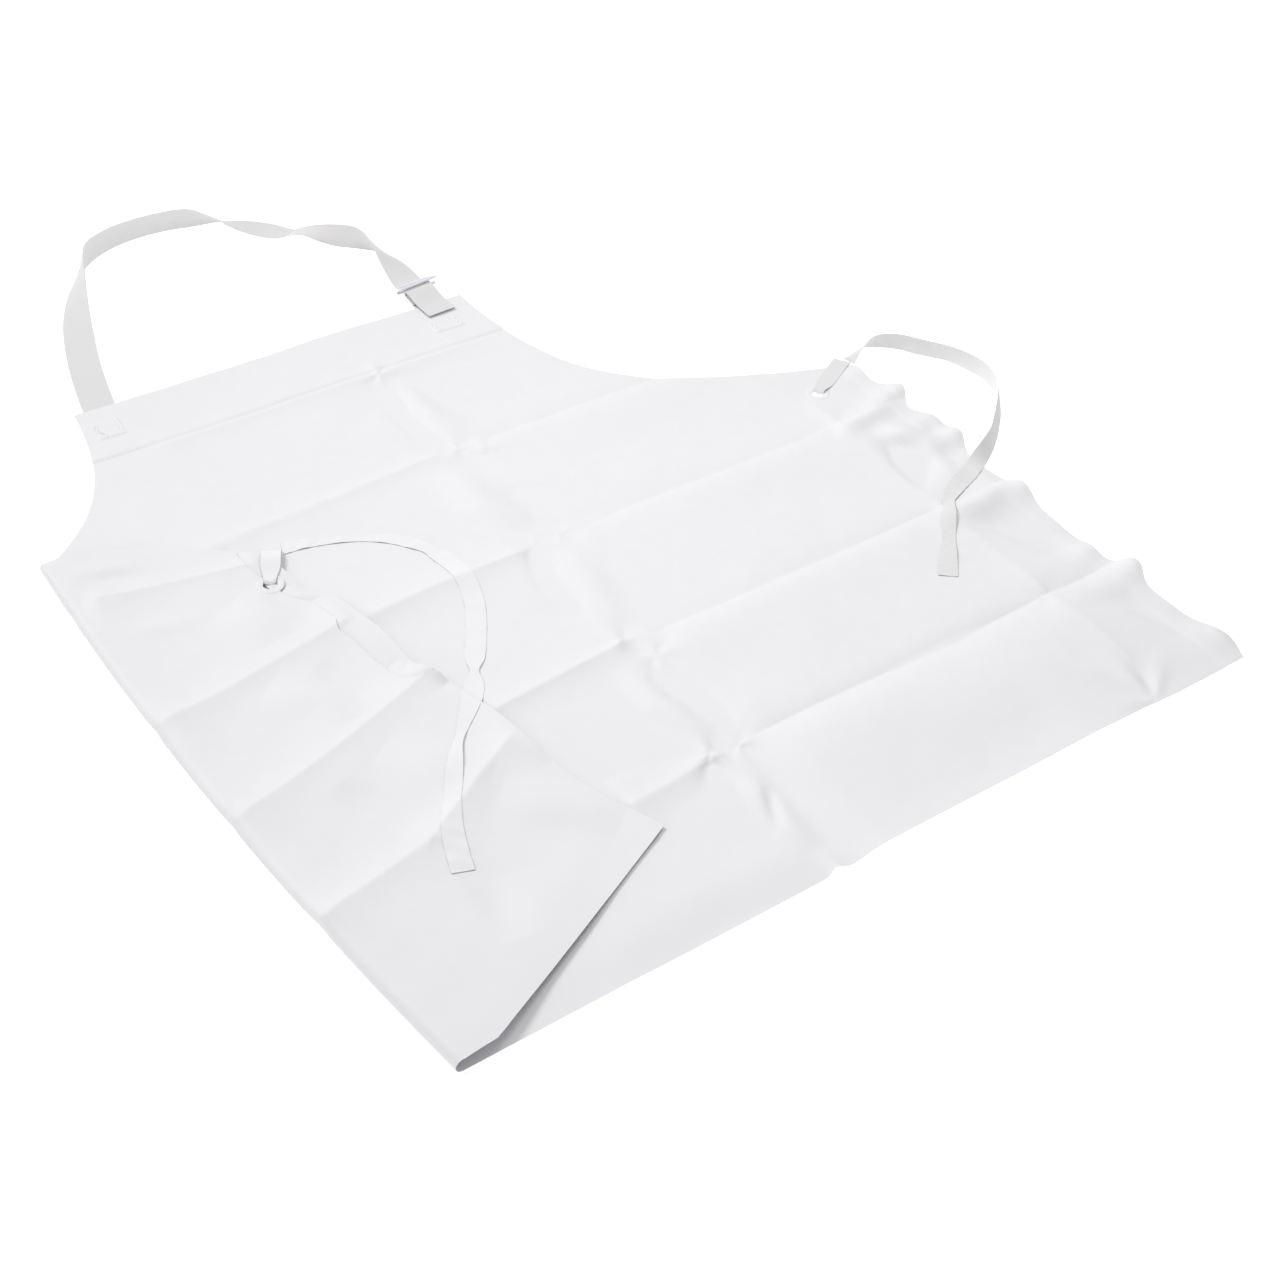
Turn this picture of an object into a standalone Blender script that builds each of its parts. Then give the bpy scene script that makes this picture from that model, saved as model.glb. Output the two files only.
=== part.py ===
"""Butcher's apron, waterproof coated cloth, lying on a table with its left side turned over.

Model space: metres, +Z up, +X across the apron, +Y from the skirt's hem to the bib.
The apron's own middle (centre line, half its length) is at MIDDLE, so that the
whole object's box stands centred on the origin.
"""
import math

import bmesh
import bpy
from mathutils import Matrix, Vector

MM = 0.001

# --- driving dimensions -------------------------------------------------------------
LENGTH = 1067 * MM          # bib edge to skirt hem, 42 in
WIDTH = 1232 * MM           # across the opened skirt, 48.5 in
BIB_WIDTH = 532 * MM        # top edge of the bib
WAIST = 112 * MM            # height of the waist corners above half length
FOLD_TOP = (-391 * MM, 264 * MM)
FOLD_BOTTOM = (-294 * MM, -LENGTH / 2)
FOLD_BOW = 16 * MM          # how far the fold swells outside its chord
FOLD_RADIUS = 7 * MM        # outer radius of the rolled fold
HINGE_HEIGHT = 13.6 * MM    # of the line about which the turned-over side opens
CLOTH = 0.8 * MM            # plate that stands for the coated cloth
GAP = 0.3 * MM              # between pieces that touch
STRAP_WIDTH = 40 * MM
STRAP_THICK = 1.0 * MM
TIE_WIDTH = 22 * MM
TIE_THICK = 0.8 * MM
HEM_DEPTH = 104 * MM        # turned hem along the bib
TAPE_WIDTH = 22 * MM        # edge tape on the skirt's sides
EYELET_HOLE = 9 * MM        # radii
EYELET_RING = 15 * MM
EYELET_RIGHT = (536 * MM, 85 * MM)
EYELET_LEFT = (-187 * MM, 108 * MM)
BUCKLE_AT = (220 * MM, 562 * MM)      # middle of the bar that the anchor strap holds
BUCKLE_SIZE = (50 * MM, 25 * MM, 4.4 * MM)
BUCKLE_RAIL = 4 * MM
BUCKLE_HEIGHT = 6.75 * MM             # of its middle plane above the table
ROD_RADIUS = 1.4 * MM
ROD_LENGTH = 57 * MM

RAISED_BIB = STRAP_THICK + GAP + CLOTH + GAP     # the bib lies on strap ends and hem
RAISED_SIDE = CLOTH + GAP                        # the right side lies on its edge tape
MIDDLE = Vector((-112.6 * MM, -191.5 * MM, 0.0))

# Neck strap, from its welded end under the bib, round the neck loop, into the buckle
# and out to its free end: x, y, height of the centre line (all mm) and tilt in degrees,
# negative where the edge nearer the loop's inside stands up.
NECK_ROUTE = [
    (-237, 462, 0.6, 0), (-236, 500, 0.6, 0), (-235, 536, 0.7, 0), (-229, 585, 2.0, -3),
    (-221, 635, 3.1, -6), (-208, 695, 4.9, -10), (-191, 757, 10.2, -26), (-167, 820, 16.8, -50),
    (-141, 868, 20.4, -76), (-106, 895, 20.2, -74), (-66, 907, 19.8, -70), (-22, 908, 19.6, -68),
    (20, 899, 19.2, -66), (54, 884, 14, -38), (84, 864, 5.8, -12), (110, 838, 2.4, -3),
    (132, 802, 6, -13), (150, 770, 17, -52), (174, 742, 20.4, -76), (199, 718, 20.5, -78),
    (213, 694, 19, -62), (219, 665, 14, -38), (220, 636, 7.4, -17), (220, 610, 2.2, -3),
    (220, 597, 1.1, 0), (220, 586, 1.5, 0), (220, 580.5, 2.0, 0), (220, 577.8, 4.2, 0),
    (220, 577.2, 8.4, 0), (220, 575.2, 10.9, 0), (220, 571.5, 11.6, 0), (220, 565, 11.7, 0),
    (220, 557, 11.2, 0), (220.5, 545, 8.6, 0), (221.5, 531, 5.9, 0), (223, 517, 4.9, 0),
    (224, 503, 4.6, 0),
]

# Short strap that holds the buckle: height profile along y, in mm.
ANCHOR_ROUTE = [
    (462, 0.6), (500, 0.6), (536, 0.6), (548, 1.3), (555, 2.6), (559.5, 3.3), (563.5, 3.5),
    (566.3, 4.6), (567.3, 6.75), (566.3, 9.0), (563.2, 10.05), (560.2, 9.9), (557.6, 8.4),
    (556.2, 6.6), (553.2, 4.6), (548, 3.1), (541, 2.4),
]

# Waist ties, from the loop at the waist corner to the free end: as the neck strap.
TIE_RIGHT_ROUTE = [
    (614, 123, 7.5, 0), (632, 129, 7, -20), (652, 131, 8.4, -40), (671, 125, 9.6, -52),
    (686, 111, 10.1, -58), (698, 93, 10.3, -60), (711, 76, 10.3, -60), (723, 56, 10.5, -62),
    (731, 33, 10.8, -66), (735, 8, 11.1, -70), (730, -20, 11.5, -76), (717, -46, 11.6, -80),
    (698, -68, 11.1, -70), (677, -88, 9.9, -50), (656, -106, 9.2, -30), (634, -120, 9.6, -14),
    (609, -132, 10.6, -6), (583, -144, 11, 0), (557, -155, 10.6, 0), (535, -169, 9.4, 0),
    (517, -188, 8, 0), (500, -209, 7, 0), (482, -231, 6.4, 0), (463, -252, 6, 0),
    (446, -272, 6, 0),
]
TIE_LEFT_ROUTE = [
    (-151, 161, 4, 0), (-133, 158, 4.6, -10), (-112, 151, 6.7, -24), (-90, 142, 8.0, -32),
    (-67, 131, 8.8, -36), (-46, 117, 8.5, -34), (-28, 99, 7.8, -30), (-15, 77, 6.2, -20),
    (-7, 53, 4.6, -10), (-3, 27, 3.6, 0), (-4, 0, 3.2, 0), (-10, -27, 3.2, 0),
    (-20, -52, 3.4, 0), (-33, -77, 4, 0), (-47, -101, 5.4, 0), (-61, -126, 7.4, 0),
    (-75, -150, 9.4, 0), (-91, -172, 10, 0), (-108, -192, 10, 0), (-125, -213, 9.8, 0),
    (-140, -236, 9.6, 0), (-154, -260, 9.6, 0), (-168, -284, 9.6, 0), (-180, -308, 9.8, 0),
    (-188, -332, 10, 0), (-194, -356, 10.2, 0),
]

# Edges of the apron as it lies: cubic curves, four points each, in mm.
ARMHOLE_RIGHT = [(266, 533.5), (276, 265), (350, 210), (616, 112)]
ARMHOLE_LEFT = [(-266, 533.5), (-272, 420), (-290, 330), (-391, 264)]
FLAP_SIDE = [(-9, -405), (-75, -250), (-100, -80), (-167, 151)]
FLAP_WAIST = [(-391, 264), (-330, 255), (-220, 195), (-167, 151)]

WHITE_CLOTH = (0.86, 0.87, 0.89)
WHITE_WEB = (0.88, 0.88, 0.90)
WHITE_PLASTIC = (0.90, 0.91, 0.93)


# --- helpers --------------------------------------------------------------------------
def clear_scene():
    for obj in list(bpy.data.objects):
        bpy.data.objects.remove(obj, do_unlink=True)


def collection(name):
    group = bpy.data.collections.new(name)
    bpy.context.scene.collection.children.link(group)
    return group


def material(name, colour, roughness):
    mat = bpy.data.materials.new(name)
    mat.use_nodes = True
    shader = mat.node_tree.nodes["Principled BSDF"]
    shader.inputs["Base Color"].default_value = (*colour, 1.0)
    shader.inputs["Roughness"].default_value = roughness
    shader.inputs["Metallic"].default_value = 0.0
    return mat


def mix(a, b, t):
    return a + (b - a) * t


def smooth(t):
    t = min(max(t, 0.0), 1.0)
    return t * t * (3 - 2 * t)


def cubic(points, t):
    """Point of a cubic curve given in mm, in metres."""
    p0, p1, p2, p3 = (Vector(p) * MM for p in points)
    return p0 * (1 - t) ** 3 + p1 * 3 * t * (1 - t) ** 2 + p2 * 3 * t * t * (1 - t) + p3 * t**3


def cubic_x_at(points, y):
    """The x of a cubic curve where it reaches height y; y falls from its start to its end."""
    low, high = 0.0, 1.0
    for _ in range(40):
        middle = (low + high) / 2
        if cubic(points, middle).y > y:
            low = middle
        else:
            high = middle
    return cubic(points, low).x


def fold_point(t):
    """Outermost line of the fold, from the hem (t = 0) to the armhole (t = 1)."""
    x = mix(FOLD_BOTTOM[0], FOLD_TOP[0], t) - FOLD_BOW * 4 * t * (1 - t)
    return Vector((x, mix(FOLD_BOTTOM[1], FOLD_TOP[1], t)))


def hinge_point(t):
    """Straight line just inside the fold, about which the turned-over side opens."""
    x = mix(FOLD_BOTTOM[0], FOLD_TOP[0], t) + FOLD_RADIUS + 3 * MM
    return Vector((x, mix(FOLD_BOTTOM[1], FOLD_TOP[1], t)))


def through(points, count):
    """Evenly spread points on a smooth curve through the given ones."""
    curve = []
    for i in range(len(points) - 1):
        p0 = points[max(i - 1, 0)]
        p1, p2 = points[i], points[i + 1]
        p3 = points[min(i + 2, len(points) - 1)]
        for k in range(count):
            t = k / count
            curve.append(
                0.5 * (2 * p1 + (p2 - p0) * t + (2 * p0 - 5 * p1 + 4 * p2 - p3) * t**2
                       + (3 * p1 - p0 - 3 * p2 + p3) * t**3))
    curve.append(points[-1])
    return curve


def grid_object(name, columns, rows, place, thickness, mat, offset=1.0):
    """A flat grid whose points go where place(u, v) says, given a thickness by Solidify."""
    bm = bmesh.new()
    bmesh.ops.create_grid(bm, x_segments=columns, y_segments=rows, size=0.5)
    for vert in bm.verts:
        vert.co = Vector(place(vert.co.x + 0.5, vert.co.y + 0.5)) + MIDDLE
    mesh = bpy.data.meshes.new(name)
    bm.to_mesh(mesh)
    bm.free()
    mesh.materials.append(mat)
    obj = bpy.data.objects.new(name, mesh)
    parts.objects.link(obj)
    solidify = obj.modifiers.new("thickness", "SOLIDIFY")
    solidify.thickness = thickness
    solidify.offset = offset
    return obj


def ribbon(name, route, width, thickness, mat, width_at=None):
    """A flat strap along a route of (x, y, z, tilt), its two edges swept side by side."""
    count = len(route)

    def across(i):
        ahead = route[min(i + 1, count - 1)]
        behind = route[max(i - 1, 0)]
        run = Vector((ahead[0] - behind[0], ahead[1] - behind[1], 0.0))
        if run.length < 1e-6:
            run = Vector((0.0, -1.0, 0.0))
        run.normalize()
        tilt = math.radians(route[i][3])
        return Vector((-run.y, run.x, 0.0)) * math.cos(tilt) + Vector((0.0, 0.0, math.sin(tilt)))

    def place(u, v):
        i = round(v * (count - 1))
        half = (u - 0.5) * (width_at(v) if width_at else width)
        return Vector(route[i][:3]) - across(i) * half

    return grid_object(name, 2, count - 1, place, thickness, mat, offset=0.0)


def routed(points, count=2):
    """Route points in mm made into smooth stations in metres, tilt kept in degrees."""
    four = [Vector((x * MM, y * MM, z * MM, tilt)) for x, y, z, tilt in points]
    return [tuple(p) for p in through(four, count)]


def cut(obj, cutter, name):
    cutter.hide_render = True
    cutter.display_type = "WIRE"
    cutters.objects.link(cutter)
    boolean = obj.modifiers.new(name, "BOOLEAN")
    boolean.operation = "DIFFERENCE"
    boolean.solver = "EXACT"
    boolean.object = cutter


def box_mesh(name, size, at):
    bm = bmesh.new()
    bmesh.ops.create_cube(bm, size=1.0)
    bmesh.ops.scale(bm, vec=size, verts=bm.verts)
    mesh = bpy.data.meshes.new(name)
    bm.to_mesh(mesh)
    bm.free()
    obj = bpy.data.objects.new(name, mesh)
    obj.location = Vector(at) + MIDDLE
    return obj


def cylinder_mesh(name, radius, length, at, along="Z", sides=24):
    bm = bmesh.new()
    bmesh.ops.create_cone(
        bm, cap_ends=True, segments=sides, radius1=radius, radius2=radius, depth=length)
    mesh = bpy.data.meshes.new(name)
    bm.to_mesh(mesh)
    bm.free()
    obj = bpy.data.objects.new(name, mesh)
    obj.location = Vector(at) + MIDDLE
    if along == "X":
        obj.rotation_euler.y = math.pi / 2
    return obj


def give(obj, mat):
    obj.data.materials.append(mat)
    parts.objects.link(obj)
    return obj


# --- the lower layer: bib, skirt and the roll of the fold ----------------------------------
def panel_height(x, y):
    """Underside of the lower layer: it lies on the table, on the bib's hem and on the tape."""
    bib = RAISED_BIB * smooth((y - 400 * MM) / (24 * MM))
    side = RAISED_SIDE * smooth((x - 488 * MM) / (14 * MM))
    return max(bib, side)


def row_height(v):
    """y of a grid row: close rows where the bib steps up, even ones elsewhere."""
    stops = [(0.0, -LENGTH / 2), (0.36, WAIST), (0.72, 396 * MM), (0.82, 426 * MM),
             (1.0, LENGTH / 2)]
    for (v0, y0), (v1, y1) in zip(stops, stops[1:]):
        if v <= v1 + 1e-9:
            return mix(y0, y1, (v - v0) / (v1 - v0))


def front_panel(mat):
    def place(u, v):
        y = row_height(v)
        if y < FOLD_TOP[1]:
            t = (y - FOLD_BOTTOM[1]) / (FOLD_TOP[1] - FOLD_BOTTOM[1])
            left = fold_point(t).x + FOLD_RADIUS + GAP
        else:
            left = cubic_x_at(ARMHOLE_LEFT, y)
            left += (FOLD_RADIUS + GAP) * max(0.0, 1 - (y - FOLD_TOP[1]) / (30 * MM))
        right = WIDTH / 2 if y <= WAIST else cubic_x_at(ARMHOLE_RIGHT, y)
        side = min(502 * MM, right - 20 * MM)
        inner = min(488 * MM, right - 40 * MM)
        if u < 0.6:
            x = mix(left, inner, u / 0.6)
        elif u < 0.7:
            x = mix(inner, side, (u - 0.6) / 0.1)
        else:
            x = mix(side, right, (u - 0.7) / 0.3)
        return x, y, panel_height(x, y)

    panel = grid_object("front_panel", 10, 25, place, CLOTH, mat)
    hole = cylinder_mesh("hole_right", EYELET_HOLE, 20 * MM, (*EYELET_RIGHT, 0.0))
    cut(panel, hole, "eyelet")
    return panel


def fold_roll(mat):
    """Half tube of cloth along the fold, with its upper leg reaching the hinge line."""
    middle = FOLD_RADIUS - CLOTH / 2

    def place(u, v):
        edge = fold_point(v)
        stop = hinge_point(v).x - 1.5 * MM
        if u < 0.875:
            angle = -math.pi / 2 - math.pi * (u / 0.875)
            x = edge.x + FOLD_RADIUS + middle * math.cos(angle)
            z = FOLD_RADIUS + middle * math.sin(angle)
        else:
            x = mix(edge.x + FOLD_RADIUS, stop, (u - 0.875) / 0.125)
            z = FOLD_RADIUS + middle
        return x, edge.y, z

    return grid_object("fold_roll", 8, 12, place, CLOTH, mat, offset=0.0)


def bib_hem(mat):
    """Turned hem behind the bib's top edge."""
    def place(u, v):
        y = mix(LENGTH / 2 - HEM_DEPTH, LENGTH / 2 - 2 * MM, v)
        half = BIB_WIDTH / 2 - 3 * MM
        return mix(-half, half, u), y, STRAP_THICK + GAP

    return grid_object("bib_hem", 6, 2, place, CLOTH, mat)


def side_tape_right(mat):
    def place(u, v):
        x = mix(WIDTH / 2 - TAPE_WIDTH, WIDTH / 2, u)
        return x, mix(-LENGTH / 2, 84 * MM, v), 0.0

    return grid_object("side_tape_right", 1, 8, place, CLOTH, mat)


# --- the turned-over left side -------------------------------------------------------------
def flap_point(u, v):
    """Point of the turned-over side: u from the fold to the side edge, v from hem to waist."""
    start = hinge_point(v) + Vector((1.5 * MM, 0.0))
    side = cubic(FLAP_SIDE, v)
    point = start.lerp(side, u)
    waist = cubic(FLAP_WAIST, u)
    chord = hinge_point(1.0).lerp(cubic(FLAP_SIDE, 1.0), u)
    point += (waist - chord) * v**6 * (1 - (1 - u) ** 8)
    return point


def flap_height(u, v):
    """Underside of the turned-over side, from the top of the roll down to the lower layer."""
    low = CLOTH + GAP + 1.2 * MM * v
    high = 2 * FOLD_RADIUS - CLOTH
    return mix(low, high, (1 - u) ** 2.5)


def flap_panel(mat):
    def place(u, v):
        point = flap_point(u, v)
        return point.x, point.y, flap_height(u, v)

    panel = grid_object("flap_panel", 10, 14, place, CLOTH, mat)
    hole = cylinder_mesh("hole_left", EYELET_HOLE, 30 * MM, (*EYELET_LEFT, 5 * MM))
    cut(panel, hole, "eyelet")
    return panel


def side_tape_left(mat):
    """Edge tape on the back of the cloth, which faces up on the turned-over side."""
    def place(u, v):
        v = mix(0.0, 0.9, v)
        edge = flap_point(1.0, v)
        inner = flap_point(0.5, v) - edge
        inner.normalize()
        point = edge + inner * (TAPE_WIDTH * (1 - u))
        reach = (edge - flap_point(0.0, v)).length
        height = flap_height(1 - TAPE_WIDTH * (1 - u) / reach, v)
        return point.x, point.y, height + CLOTH + GAP

    return grid_object("side_tape_left", 2, 16, place, CLOTH, mat)


# --- eyelets and the tie loops through them --------------------------------------------------
def eyelet_ring(name, at, height, mat):
    ring = cylinder_mesh(name, EYELET_RING, 0.6 * MM, (*at, height + 0.3 * MM), sides=32)
    give(ring, mat)
    hole = cylinder_mesh(name + "_hole", EYELET_HOLE, 5 * MM, (*at, height))
    cut(ring, hole, "hole")
    return ring


def tie_loop(name, eyelet, edge, profile, mat):
    """Tape through the eyelet and round the cloth's edge: (distance, height) in mm."""
    start = Vector(eyelet)
    way = (Vector(edge) - start).normalized()
    stations = [(*(start + way * d * MM), z * MM, 0.0) for d, z in profile]
    narrow = TIE_WIDTH * 0.55
    count = len(profile)

    def across():
        return Vector((-way.y, way.x, 0.0))

    def place(u, v):
        i = round(v * (count - 1))
        free = smooth((count - 1 - i) / 4)
        width = mix(narrow, TIE_WIDTH, free)
        return Vector(stations[i][:3]) + across() * (0.5 - u) * width

    return grid_object(name, 2, count - 1, place, TIE_THICK * 0.75, mat, offset=0.0)


# --- slide buckle ------------------------------------------------------------------------------
def buckle(frame_mat, rod_mat):
    width, depth, thick = BUCKLE_SIZE
    x, y = BUCKLE_AT
    pivot = bpy.data.objects.new("buckle_pivot", None)
    pivot.location = Vector((x, y, BUCKLE_HEIGHT)) + MIDDLE
    parts.objects.link(pivot)

    middle = depth / 2 - BUCKLE_RAIL / 2
    frame = give(box_mesh("buckle_frame", BUCKLE_SIZE, (0, 0, 0)), frame_mat)
    frame.parent = pivot
    frame.location = (0.0, middle, 0.0)
    bevel = frame.modifiers.new("edges", "BEVEL")
    bevel.width = 0.8 * MM
    bevel.segments = 2
    window = box_mesh(
        "window", (width - 2 * BUCKLE_RAIL, depth - 2 * BUCKLE_RAIL, 10 * MM),
        (x, y + middle, BUCKLE_HEIGHT))
    cut(frame, window, "window")
    bore = cylinder_mesh(
        "rod_bore", ROD_RADIUS + GAP, 80 * MM, (x, y + middle, BUCKLE_HEIGHT), along="X")
    cut(frame, bore, "rod_bore")

    rod = give(cylinder_mesh("buckle_rod", ROD_RADIUS, ROD_LENGTH, (0, 0, 0), "X", 16), rod_mat)
    rod.parent = pivot
    rod.location = (0.0, middle, 0.0)
    tip = rod.modifiers.new("tips", "BEVEL")
    tip.width = 0.4 * MM
    tip.segments = 2
    tip.limit_method = "ANGLE"


def weld(name, x, y, size, mat):
    """Raised welded patch on the bib's face, over a strap end."""
    patch = box_mesh(name, (size[0], size[1], 0.5 * MM), (x, y, 0.0))
    patch.location.z = RAISED_BIB + CLOTH + GAP + 0.25 * MM
    bevel = patch.modifiers.new("edges", "BEVEL")
    bevel.width = 0.15 * MM
    bevel.segments = 1
    return give(patch, mat)


def hang_on_fold(*names):
    """The turned-over side and what is fixed to it turn about the fold."""
    pivot = bpy.data.objects.new("fold_pivot", None)
    pivot.location = Vector((*hinge_point(0.0), HINGE_HEIGHT)) + MIDDLE
    parts.objects.link(pivot)
    for name in names:
        piece = bpy.data.objects[name]
        piece.parent = pivot
        piece.matrix_parent_inverse = Matrix.Translation(-pivot.location)


clear_scene()
parts = collection("butcher_apron")
cutters = collection("cutters")

cloth = [material(f"cloth_{i}", WHITE_CLOTH, 0.45) for i in range(6)]
web = [material(f"webbing_{i}", WHITE_WEB, 0.7) for i in range(6)]
plastic = [material(f"plastic_{i}", WHITE_PLASTIC, 0.35) for i in range(6)]

front_panel(cloth[0])
fold_roll(cloth[1])
bib_hem(cloth[2])
side_tape_right(cloth[3])
flap_panel(cloth[4])
side_tape_left(cloth[5])

ribbon("neck_strap", routed(NECK_ROUTE), STRAP_WIDTH, STRAP_THICK, web[0])
ribbon("anchor_strap", routed([(220, y, z, 0) for y, z in ANCHOR_ROUTE]),
       STRAP_WIDTH, STRAP_THICK, web[1])
ribbon("waist_tie_right", routed(TIE_RIGHT_ROUTE), TIE_WIDTH, TIE_THICK, web[2])
ribbon("waist_tie_left", routed(TIE_LEFT_ROUTE), TIE_WIDTH, TIE_THICK, web[3])

eyelet_ring("eyelet_ring_right", EYELET_RIGHT, RAISED_SIDE + CLOTH + GAP, plastic[0])
eyelet_ring("eyelet_ring_left", EYELET_LEFT, 3.7 * MM, plastic[1])
tie_loop("tie_loop_right", EYELET_RIGHT, (604 * MM, 126 * MM),
         [(8, 0.5), (40, 0.5), (78, 0.5), (81, 1.0), (82, 2.2), (80, 3.4), (74, 3.7),
          (40, 3.6), (16, 3.6), (6, 3.7), (2, 3.6), (0.6, 2.8), (0, 1.4)], web[4])
tie_loop("tie_loop_left", EYELET_LEFT, (-158 * MM, 172 * MM),
         [(8, 1.6), (25, 1.6), (51, 1.6), (54.5, 2.2), (55.5, 3.4), (54, 4.6), (48, 5.0),
          (26, 5.0), (14, 5.1), (6, 5.2), (2, 5.0), (0.6, 4.2), (0, 3.0)], web[5])

buckle(plastic[2], plastic[3])
weld("strap_weld_left", -240 * MM, 481 * MM, (30 * MM, 34 * MM), plastic[4])
weld("strap_weld_right", 217 * MM, 473 * MM, (40 * MM, 26 * MM), plastic[5])

hang_on_fold("flap_panel", "side_tape_left", "eyelet_ring_left", "tie_loop_left",
             "waist_tie_left")
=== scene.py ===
"""Looks of the butcher's apron: coated cloth laid out with one side turned over,
webbing neck strap in a slide buckle, and two waist ties of woven tape.

Lengths are metres. Heights and routes written in millimetres are turned into metres where
they are used. "Sheet coordinates" have x = 0 on the apron's centre line and y = 0 at half
its length, and `middle` moves them into the frame.
"""
import math

import bpy
import numpy as np
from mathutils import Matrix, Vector


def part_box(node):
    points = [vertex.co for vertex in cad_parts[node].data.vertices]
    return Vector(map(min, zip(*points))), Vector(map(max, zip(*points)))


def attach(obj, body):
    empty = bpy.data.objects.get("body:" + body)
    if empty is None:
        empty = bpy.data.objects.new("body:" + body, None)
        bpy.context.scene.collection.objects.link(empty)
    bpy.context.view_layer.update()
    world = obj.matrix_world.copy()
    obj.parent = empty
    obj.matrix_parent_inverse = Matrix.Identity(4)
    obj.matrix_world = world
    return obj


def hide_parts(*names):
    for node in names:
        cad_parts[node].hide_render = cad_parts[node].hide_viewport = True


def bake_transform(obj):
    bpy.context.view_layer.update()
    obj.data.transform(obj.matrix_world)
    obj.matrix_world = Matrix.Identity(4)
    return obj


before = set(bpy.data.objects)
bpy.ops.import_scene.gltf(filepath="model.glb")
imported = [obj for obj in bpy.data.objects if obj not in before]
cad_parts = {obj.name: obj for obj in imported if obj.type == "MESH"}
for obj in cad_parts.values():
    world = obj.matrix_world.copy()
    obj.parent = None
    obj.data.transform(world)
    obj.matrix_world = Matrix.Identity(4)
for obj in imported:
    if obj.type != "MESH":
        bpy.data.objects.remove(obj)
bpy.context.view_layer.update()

MM = 0.001
FULL_TURN = 6.28        # near enough to 2 pi for a random ripple
LENGTH = 1067 * MM
WIDTH = 1232 * MM
STRAP_WIDTH = 40 * MM
TIE_WIDTH = 22 * MM

panel_low, panel_high = (Vector(corner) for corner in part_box("front_panel"))
middle = Vector((panel_high.x - WIDTH / 2, panel_low.y + LENGTH / 2, 0.0))

# --- camera ---
CAMERA_AT = Vector((-547.1, -1215.7, 1156.2)) * MM
CAMERA_AZIMUTH = -32.23
CAMERA_ELEVATION = 43.24
CAMERA_LENS = 45.2

# --- light and colours ---
WORLD_LIGHT = 0.58
KEY_AT, KEY_SIZE, KEY_POWER = (-2.3, 5.6, 7.0), (3.8, 2.9), 462.0
TOP_AT, TOP_SIZE, TOP_POWER = (0.25, -0.2, 1.3), (0.8, 0.7), 5.2
TABLE_GLOW = 0.46
EXPOSURE = 0.0
CLOTH_WHITE = (0.725, 0.722, 0.745)
WEB_WHITE = (0.675, 0.665, 0.675)
TAPE_WHITE = (0.785, 0.78, 0.80)
# painted shade: a darker copy of TAPE_WHITE for the right tie and its loop, standing in for the shade
# they stand in
TAPE_SHADED = (0.70, 0.692, 0.70)
PLASTIC_WHITE = (0.74, 0.75, 0.80)

# --- how strongly the cloth's shapes stand out ---
RELIEF = 1.7           # ridges and swellings
PINCH_RELIEF = 0.6     # pinched points, most of them where creases cross
UNDER_FLAP = 0.35      # share of the lower layer's unevenness that shows through above it
ROLL_SAG = 1.2         # above 1, the fold's roll is widest low down
TIE_SETTLE = 0.95      # share by which a tie's flat stretches settle on what is beneath


def camera():
    data = bpy.data.cameras.new("camera")
    data.lens = CAMERA_LENS
    data.clip_end = 20.0
    cam = placed("camera", data)
    cam.location = CAMERA_AT + middle
    cam.rotation_euler = (
        math.radians(90 - CAMERA_ELEVATION), 0.0, math.radians(CAMERA_AZIMUTH))
    bpy.context.scene.camera = cam


# --- routes of the straps and ties, repeated from the CAD ---
# x, y, height of the centre line (mm) and tilt in degrees, negative where the right-hand
# edge along the route stands up.
NECK_ROUTE = [
    (-237, 462, 0.6, 0), (-236, 500, 0.6, 0), (-235, 536, 0.7, 0), (-229, 585, 2.0, -3),
    (-221, 635, 3.1, -6), (-208, 695, 4.9, -10), (-191, 757, 10.2, -26), (-167, 820, 16.8, -50),
    (-141, 868, 20.4, -76), (-106, 895, 20.2, -74), (-66, 907, 19.8, -70), (-22, 908, 19.6, -68),
    (20, 899, 19.2, -66), (54, 884, 14, -38), (84, 864, 5.8, -12), (110, 838, 2.4, -3),
    (132, 802, 6, -13), (150, 770, 17, -52), (174, 742, 20.4, -76), (199, 718, 20.5, -78),
    (213, 694, 19, -62), (219, 665, 14, -38), (220, 636, 7.4, -17), (220, 610, 2.2, -3),
    (220, 597, 1.1, 0), (220, 586, 1.5, 0), (220, 580.5, 2.0, 0), (220, 577.8, 4.2, 0),
    (220, 577.2, 8.4, 0), (220, 575.2, 10.9, 0), (220, 571.5, 11.6, 0), (220, 565, 11.7, 0),
    (220, 557, 11.2, 0), (220.5, 545, 8.6, 0), (221.5, 531, 5.9, 0), (223, 517, 4.9, 0),
    (224, 503, 4.6, 0),
]
TIE_RIGHT_ROUTE = [
    (614, 123, 7.5, 0), (632, 129, 7, -20), (652, 131, 8.4, -40), (671, 125, 9.6, -52),
    (686, 111, 10.1, -58), (698, 93, 10.3, -60), (711, 76, 10.3, -60), (723, 56, 10.5, -62),
    (731, 33, 10.8, -66), (735, 8, 11.1, -70), (730, -20, 11.5, -76), (717, -46, 11.6, -80),
    (698, -68, 11.1, -70), (677, -88, 9.9, -50), (656, -106, 9.2, -30), (634, -120, 9.6, -14),
    (609, -132, 10.6, -6), (583, -144, 11, 0), (557, -155, 10.6, 0), (535, -169, 9.4, 0),
    (517, -188, 8, 0), (500, -209, 7, 0), (482, -231, 6.4, 0), (463, -252, 6, 0),
    (446, -272, 6, 0),
]
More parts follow.
